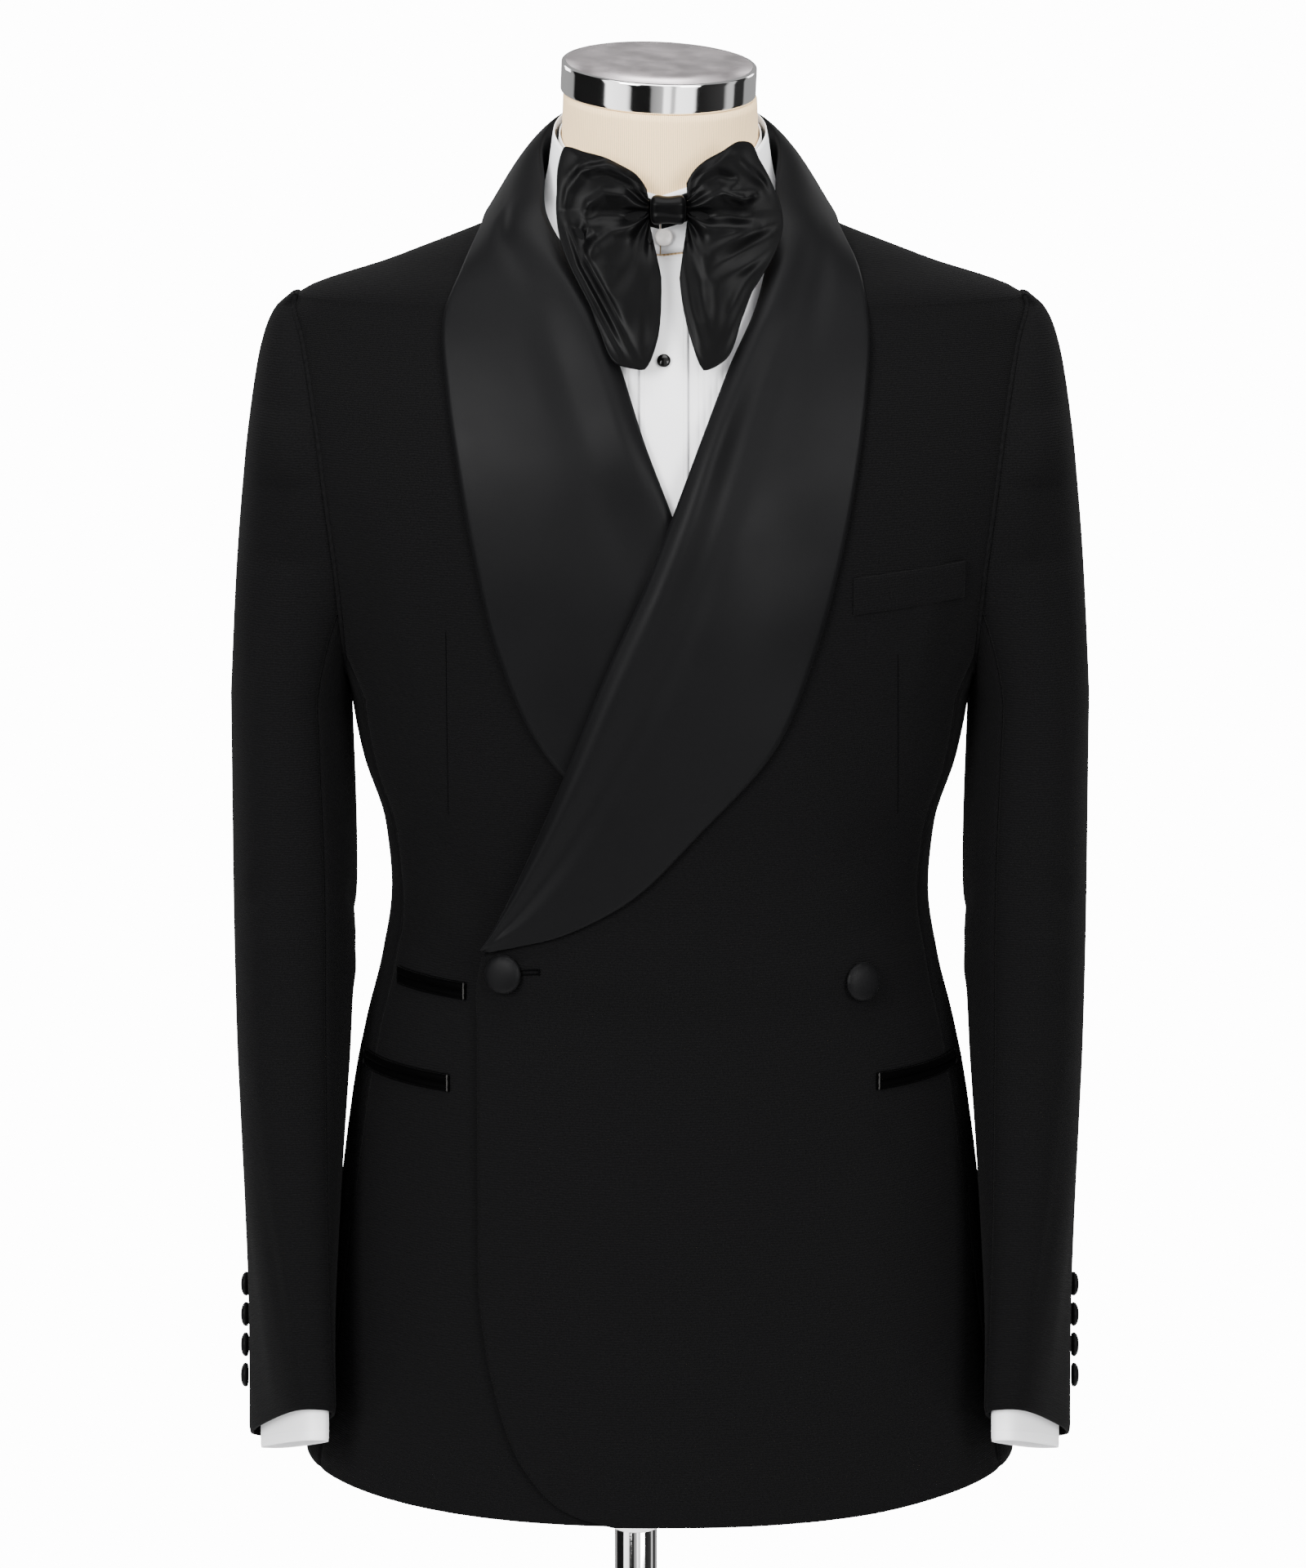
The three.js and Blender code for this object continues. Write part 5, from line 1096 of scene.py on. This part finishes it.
def shirt_cuff(side):
    z = np.concatenate([np.linspace(CUFF_LOW, CUFF_LOW + 3, 5), np.linspace(CUFF_LOW + 4, CUFF_HIGH, 22)])
    angle = np.linspace(180, -180, 96, endpoint=False)
    zz, aa = np.broadcast_arrays(z[:, None], angle[None, :])
    outer, inner = cuff_point(zz, aa, CUFF_INSET), cuff_point(zz, aa, CUFF_INSET + CUFF_WALL)
    middle = (outer + inner) / 2
    rounded = 0.45 * (1 - smooth((zz - CUFF_LOW) / 2.4))[..., None]
    side_wall("cuff", "shirt_cuff", side, mix(outer, middle, rounded), mix(inner, middle, rounded), cotton,
              "shirting", "stretched", f"inner_sleeve_{hand(side)}", ring=True)
    stitches = np.arange(200)
    inset = CUFF_INSET - 0.05 - 0.1 * np.sin(stitches * 1.9)
    line = cuff_point(CUFF_LOW + 6 + 0 * stitches, np.linspace(178, -178, 200), inset)
    tube(f"cuff_stitch_{hand(side)}", mirror(line, side), 0.17, cotton, 6)


# Bow tie

# The photo's middle column and the knot's row, and pixels a millimetre across, above and below the knot
PHOTO_X, PHOTO_Z, SCALE_ACROSS, SCALE_ABOVE, SCALE_BELOW = 799.5, 256.8, 2.11, 2.07, 2.2
CAMERA_X = -4.25


def bow_at(px, py):
    """A place on the bow, in its own x and z, from its column and row in the photo."""
    scale = SCALE_ABOVE if py < PHOTO_Z else SCALE_BELOW
    return (px - PHOTO_X) / SCALE_ACROSS + CAMERA_X - BOW_X, (PHOTO_Z - py) / scale


def bow_lines(rows):
    return [([bow_at(*place) for place in places], width, depth) for places, width, depth in rows]


# Crumples of each wing, as columns and rows of the photo, with width and depth in millimetres
BOW_FOLDS = {
    -1: bow_lines([
        ([(797, 262), (770, 262), (735, 262), (715, 268)], 4.0, -3.2),
        ([(795, 255), (765, 240), (740, 238), (722, 250), (716, 268)], 3.2, 3.0),
        ([(795, 250), (770, 228), (745, 215), (720, 215)], 3.0, -2.4),
        ([(770, 215), (740, 205), (712, 212), (695, 235), (688, 262)], 3.4, 2.6),
        ([(745, 200), (715, 200), (698, 215)], 2.6, -1.8),
        ([(716, 268), (708, 280), (715, 292), (730, 285)], 3.0, -2.8),
        ([(797, 270), (775, 280), (750, 285), (728, 300), (715, 322)], 3.6, 2.6),
        ([(797, 276), (785, 300), (765, 330), (745, 360)], 6.0, -2.2),
        ([(800, 285), (797, 330), (790, 380), (785, 430)], 6.0, 2.4),
        ([(686, 285), (698, 330), (728, 385), (760, 440)], 1.7, 1.9),
        ([(690, 278), (706, 328), (737, 385), (768, 443)], 1.6, -1.6),
        ([(694, 272), (713, 325), (745, 382), (775, 440)], 1.7, 1.7),
        ([(700, 275), (722, 325), (754, 382), (782, 438)], 1.8, -1.5)]),
    1: bow_lines([
        ([(838, 262), (865, 262), (895, 262), (925, 268)], 4.0, -3.0),
        ([(838, 254), (862, 246), (885, 238), (905, 244), (925, 240)], 3.0, 2.6),
        ([(840, 248), (858, 228), (880, 216), (905, 222)], 3.0, -2.2),
        ([(905, 222), (890, 236), (912, 246), (930, 236)], 2.6, 2.0),
        ([(900, 195), (915, 210), (935, 225), (945, 240)], 3.0, 1.8),
        ([(838, 268), (865, 278), (900, 280), (935, 275)], 3.6, 2.6),
        ([(950, 285), (920, 300), (885, 320), (862, 340)], 3.4, -2.2),
        ([(955, 272), (925, 285), (895, 296), (862, 312)], 3.0, 2.2),
        ([(948, 305), (915, 325), (880, 345)], 3.4, 1.9),
        ([(840, 275), (850, 310), (858, 350), (862, 400)], 5.0, -2.2),
        ([(836, 280), (840, 330), (848, 380), (862, 435)], 4.0, 1.9),
        ([(940, 330), (915, 370), (892, 420), (878, 445)], 4.0, 1.6),
        ([(930, 325), (905, 360), (884, 405)], 4.0, -1.4)])}


def bow_wing(side):
    table = LEFT_WING if side > 0 else RIGHT_WING
    high, low = table[0][0], table[-1][0]
    angle = np.linspace(high, low, 150)[:, None]
    share = np.linspace(0, 1, 80)[None, :]
    t = rad(angle)
    reach = curve(table, 1)(angle)
    x = side * mix(KNOT_X + 0.6, KNOT_X - 2 + reach * np.cos(t), share)
    z = mix(KNOT_Z * 0.7 + 0 * reach, reach, share) * np.sin(t)
    lean = 0.46 * np.minimum(z, 0) + 0.138 * np.maximum(z, 0)
    puff = (3.4 * smooth(np.minimum(share * 3, (1 - share) * 2.4))
            * smooth(np.minimum(angle - low, high - angle) / 26))
    base = np.stack([BOW_X + x, BOW_Y + lean - puff + 1.2, BOW_Z + z], axis=-1)
    n = grid_normals(base, FORWARD)
    gather = 1.5 * np.sin(rad(angle) * 9 + 0.6) * np.exp(-((share - 0.12) / 0.16) ** 2)
    off = 0.8 * folds(x, z, BOW_FOLDS[side]) * smooth(share / 0.06) * smooth((1 - share) / 0.12) + gather
    outer = base + n * off[..., None]
    inner = np.stack([BOW_X + x, BOW_Y + lean + 1.5, BOW_Z + z], axis=-1)
    inner = np.where((np.abs(inner - outer).sum(-1) < 1.0)[..., None], outer - n * 1.2, inner)
    shell(f"wing_{hand(side)}", outer, inner, bow_satin, "satin", (f"bow_wing_{hand(side)}",),
          held="gathered", rests=("knot",))


def bow_knot():
    """The wrapped middle, a rounded belt with a pressed-in crease and a ridge on its front."""
    u = np.linspace(-1, 1, 60)[:, None]
    v = turns(64)[None, :]
    width = KNOT_X * u + 0 * v
    belt = (1 - np.abs(u) ** 6) ** (1 / 3)
    y = KNOT_Y * spow(np.cos(v), 0.7) * belt
    z = KNOT_Z * spow(np.sin(v), 0.7) * belt * (1 - 0.08 * np.cos(u * 3))
    crease = 0.9 * np.exp(-((z + 1.6 + 0.6 * np.sin(u * 3)) / 1.3) ** 2)
    ridge = 0.6 * np.exp(-((z - 3.8) / 1.6) ** 2)
    y = y + (crease - ridge) * (np.cos(v) < 0)
    p = np.stack([BOW_X + width, BOW_Y - 1 + y, BOW_Z + z], axis=-1)
    faces = ring_quads(*z.shape)
    uv = np.stack([width, z], -1).reshape(-1, 2) / 1000
    weld(add_mesh("knot", p.reshape(-1, 3), faces, len(faces), uv, bow_satin, ("bow_knot",)), 1e-5)


# Form and stand

def form_torso():
    """The knitted body, whose neck tips with the cap."""
    z = rows_between((FORM_LOW, 780, 3), (780, 1440, 22), (1440, 1530, 4), (1530, FORM_TOP, 4))[:, None]
    angle = np.linspace(180, 540, 144, endpoint=False)[None, :]
    t, power = rad(angle), 2 / form_s(z)
    depth = np.where(np.cos(t) > 0, form_f(z), form_b(z))
    x, y = form_w(z) * spow(np.sin(t), power), -depth * spow(np.cos(t), power)
    tilt = smooth((z - FORM_TILT_Z) / (FORM_TOP - FORM_TILT_Z))
    lift = tilt * (math.tan(math.radians(CAP_PITCH)) * y - math.tan(math.radians(CAP_ROLL)) * x)
    p = np.stack([x, y, z + lift], axis=-1)
    bottom, top = (mix(row.mean(1, keepdims=True), row, 0.0001) for row in (p[:1], p[-1:]))
    p = np.concatenate([bottom, p, top])
    faces = ring_quads(*p.shape[:2])
    round_it = rad(angle) * CAP_R + 0 * p[..., 2]
    uv = np.stack([round_it, p[..., 2]], -1).reshape(-1, 2) / 1000
    add_mesh("form", p.reshape(-1, 3), faces, len(faces), uv, knit, ("form_torso",))


def stand():
    axis = Vector((0, 0, 1))
    axis.rotate(Euler((0, math.radians(CAP_ROLL), 0)))
    axis.rotate(Euler((math.radians(CAP_PITCH), 0, 0)))
    top = np.array([-0.5, 0.0, CAP_TOP])
    upright = [(CAP_R, -h) for h in np.linspace(CAP_H - 1.0, 1.3, 12)]
    band = [(TIP, -CAP_H), (CAP_R - 1.3, -CAP_H), (CAP_R - 1.2, -CAP_H), (CAP_R - 0.4, -CAP_H + 0.25),
            (CAP_R - 0.08, -CAP_H + 0.6), *upright, (CAP_R - 0.12, -0.8), (CAP_R - 0.6, -0.35),
            (CAP_R - 1.4, -0.1), (CAP_R - 2.2, 0), (CAP_R - 2.5, -0.35), (TIP, -0.35)]
    turned("cap_band", band, top, axis, chrome, 128, ("form_neck_cap",))
    disc = [(TIP, -0.3), (CAP_R - 2.6, -0.3), (CAP_R - 2.5, -0.06), (CAP_R * 0.5, 0.0), (TIP, 0)]
    turned("cap_top", disc, top, axis, brushed, 96)
    up, foot, pole_top = (0, 0, 1), FOOT_Z + SEAM, FORM_LOW - SEAM
    pole = [(TIP, foot), (POLE_R - 0.6, foot), (POLE_R, foot + 0.6), (POLE_R, pole_top - 0.6),
            (POLE_R - 0.6, pole_top), (TIP, pole_top)]
    turned("pole", pole, (POLE_X, 0, 0), up, chrome, 72, ("stand_pole",))
    low, bore, rim = pole_top - POLE_COLLAR_H, POLE_R + SEAM, POLE_COLLAR_R - 0.6
    collar = [(bore, low), (rim, low), (POLE_COLLAR_R, low + 0.8), (POLE_COLLAR_R, pole_top - 0.8),
              (rim, pole_top), (bore, pole_top), (bore, low)]
    turned("pole_collar", collar, (POLE_X, 0, 0), up, chrome, 72, ("stand_collar",))
    turned("base", BASE, (0, 0, 0), up, chrome, 160, ("stand_base",))


def studs():
    """The black stud on the placket and the pearl button on the collar's band."""
    angle = angle_at(np.array(STUD_Z), np.array(PLACKET_X))
    at = body_point(STUD_Z, angle, PLACKET_RISE - SHIRT_DEPTH + SEAM)
    out = body_point(STUD_Z, angle, 1.0) - body_point(STUD_Z, angle, 0.0)
    turned("stud", STUD, at, out, onyx, 40, ("shirt_stud",))
    band = neck_point(0.0, COLLAR_BUTTON_Z, 1 + COTTON + COLLAR_BUTTON_OUT)
    turned("collar_stud", COLLAR_BUTTON, (PLACKET_X, band[1], band[2]), FORWARD, pearl, 40,
           ("shirt_collar_button",))


# Everything

form_torso()
stand()
for side in (1, -1):
    front_panel(side)
    side_panel(side)
    back_panel(side)
    upper_sleeve(side)
    under_sleeve(side)
    armhole_roll(side)
    pressed_seam(f"side_seam_{side + 1}", side, FRONT_SEAM, HEM_Z + 2, 1240)
    pressed_seam(f"back_seam_{side + 1}", side, BACK_SEAM, HEM_Z + 2, 1240)
    shawl_half(side)
    cuff_buttons(side)
    shirt_front(side)
    shirt_sleeve(side)
    shirt_cuff(side)
bow_knot()
for side in (1, -1):
    bow_wing(side)
pressed_seam("centre_back_seam", 1, 180.0, HEM_Z + 2, PANEL_TOP - 6)
shirt_back()
placket()
collar_pieces()
# The jets' darker satin is painted shade of the pocket mouths
pocket("hip_pocket_right", "hip_jets_right", -1, 125, 1003, 178, 1004, 4.6, JET, jet_satin_painted_shade, "satin")
pocket("hip_pocket_left", "hip_jets_left", 1, 127, 1004, 178, 1004, 4.6, JET, jet_satin_painted_shade, "satin")
pocket("ticket_pocket_right", "ticket_jets_right", -1, 115, 1058, 157, 1059, 4.6, JET, jet_satin_painted_shade, "satin")
pocket("chest_pocket_left", "chest_welt_left", 1, 112, 1298, 178, 1304, 11, WELT, wool, "wool")
front_button("button_fastened", "front_button_fastened", -1, 89.5, 1071.5)
front_button("button_show", "front_button_show", 1, 116, 1064)
buttonhole()
dart("dart_right", -1, (125, 1278), (125, 1163))
dart("dart_left", 1, (139, 1262), (141, 1161))
studs()


# Floor, light and camera

def plain(name, color, roughness):
    m, t, s = node_material(name, color, roughness, Specular_IOR_Level=0.1)
    n = texture(t, "ShaderNodeTexNoise", "Object", 3.0, Detail=2.0)
    shades(t, s, n, color, 0.985, 1)
    return m


FLOOR_R, FLOOR_SIDES = 1.6, 96
disc = bpy.data.meshes.new("floor")
disc.from_pydata([(FLOOR_R * math.cos(a), FLOOR_R * math.sin(a), 0) for a in turns(FLOOR_SIDES)], [],
                 [list(range(FLOOR_SIDES))])
floor = bpy.data.objects.new("floor", disc)
bpy.context.scene.collection.objects.link(floor)
disc.materials.append(plain("floor", (0.86, 0.86, 0.86), 0.9))

# Lights: place, width and height in metres, and power, all turned to the chest
CHEST = Vector((0, 0, 1.2))
LIGHTS = {
    "key": ((-1.7, -2.6, 2.5), (1.3, 1.6), 190), "fill": ((1.9, -2.5, 2.2), (1.3, 1.6), 110),
    "top": ((0, -0.4, 3.2), (1.6, 1.2), 60), "rear_left": ((2.2, 2.2, 2.2), (1.0, 1.6), 26),
    "rear_right": ((-2.2, 2.2, 2.2), (1.0, 1.6), 26)}


def area_light(name, place, size, power):
    data = bpy.data.lights.new(name, "AREA")
    data.shape = "RECTANGLE"
    data.size, data.size_y = size
    data.energy = power
    lamp = bpy.data.objects.new(name, data)
    lamp.location = place
    lamp.rotation_euler = (CHEST - Vector(place)).to_track_quat("-Z", "Y").to_euler()
    bpy.context.scene.collection.objects.link(lamp)


for name, values in LIGHTS.items():
    area_light(name, *values)

# Strength of the light round the cloth, and of the white that the camera sees
SOFT_LIGHT, SEEN_LIGHT = 1.1, 14.0
# What polished metal mirrors: white screens and dark flags round the studio, by the compass in degrees
SCREENS = [
    (-180, 0.42), (-122, 0.42), (-118, 0.01), (-69, 0.01), (-66, 3.2), (-40, 2.6), (-34, 0.01), (-11, 0.01),
    (-8, 0.4), (5, 0.7), (7, 3.4), (14, 3.0), (16, 0.9), (20, 1.0), (22, 3.4), (44, 3.0),
    (48, 0.01), (86, 0.05), (92, 0.8), (101, 0.8), (104, 0.03), (121, 0.03), (125, 0.42), (180, 0.42)]


def studio_world():
    """White for the camera, soft light for the cloth, and the screens for what mirrors."""
    world = bpy.data.worlds.new("studio")
    world.use_nodes = True
    t = world.node_tree
    t.nodes.clear()

    def node(kind, **inputs):
        n = t.nodes.new("ShaderNode" + kind)
        for key, value in inputs.items():
            n.inputs[key.replace("_", " ")].default_value = value
        return n

    def math_node(operation):
        n = node("Math")
        n.operation = operation
        return n

    def switch(ray, elsewhere, on_ray):
        n = node("MixShader")
        link(t, rays, ray, n, "Fac")
        t.links.new(elsewhere.outputs[0], n.inputs[1])
        t.links.new(on_ray.outputs[0], n.inputs[2])
        return n

    parts = node("SeparateXYZ")
    link(t, node("TexCoord"), "Generated", parts, "Vector")
    forward = math_node("MULTIPLY")
    forward.inputs[1].default_value = -1
    link(t, parts, "Y", forward, 0)
    compass = math_node("ARCTAN2")
    link(t, parts, "X", compass, 0)
    link(t, forward, "Value", compass, 1)
    place = node("MapRange", From_Min=-math.pi, From_Max=math.pi)
    link(t, compass, "Value", place, "Value")
    screens = node("FloatCurve")
    points = screens.mapping.curves[0].points
    brightest = max(bright for _, bright in SCREENS)
    while len(points) > 2:
        points.remove(points[-1])
    for k, (turn, bright) in enumerate(SCREENS):
        at = (turn + 180) / 360, bright / brightest
        if k < 2:
            points[k].location = at
        else:
            points.new(*at)
    for point in points:
        point.handle_type = "VECTOR"
    screens.mapping.update()
    link(t, place, "Result", screens, "Value")
    mirrored = node("Background", Strength=brightest)
    link(t, screens, "Value", mirrored, "Color")
    soft = node("Background", Color=(1, 1, 1, 1), Strength=SOFT_LIGHT)
    seen = node("Background", Color=(1, 1, 1, 1), Strength=SEEN_LIGHT)
    rays = node("LightPath")
    end = switch("Is Camera Ray", switch("Is Glossy Ray", soft, mirrored), seen)
    link(t, end, "Shader", node("OutputWorld"), "Surface")
    bpy.context.scene.world = world


studio_world()

CAMERA_Y, CAMERA_Z, CAMERA_DOWN, LENS = -3000.0, 1748.0, 11.0, 115.31
camera_data = bpy.data.cameras.new("camera")
camera_data.sensor_width = 36
camera_data.lens = LENS
camera_data.clip_end = 50
camera = bpy.data.objects.new("camera", camera_data)
camera.location = (CAMERA_X / 1000, CAMERA_Y / 1000, CAMERA_Z / 1000)
camera.rotation_euler = (math.radians(90 - CAMERA_DOWN), 0, 0)
bpy.context.scene.collection.objects.link(camera)
bpy.context.scene.camera = camera

bpy.context.view_layer.update()
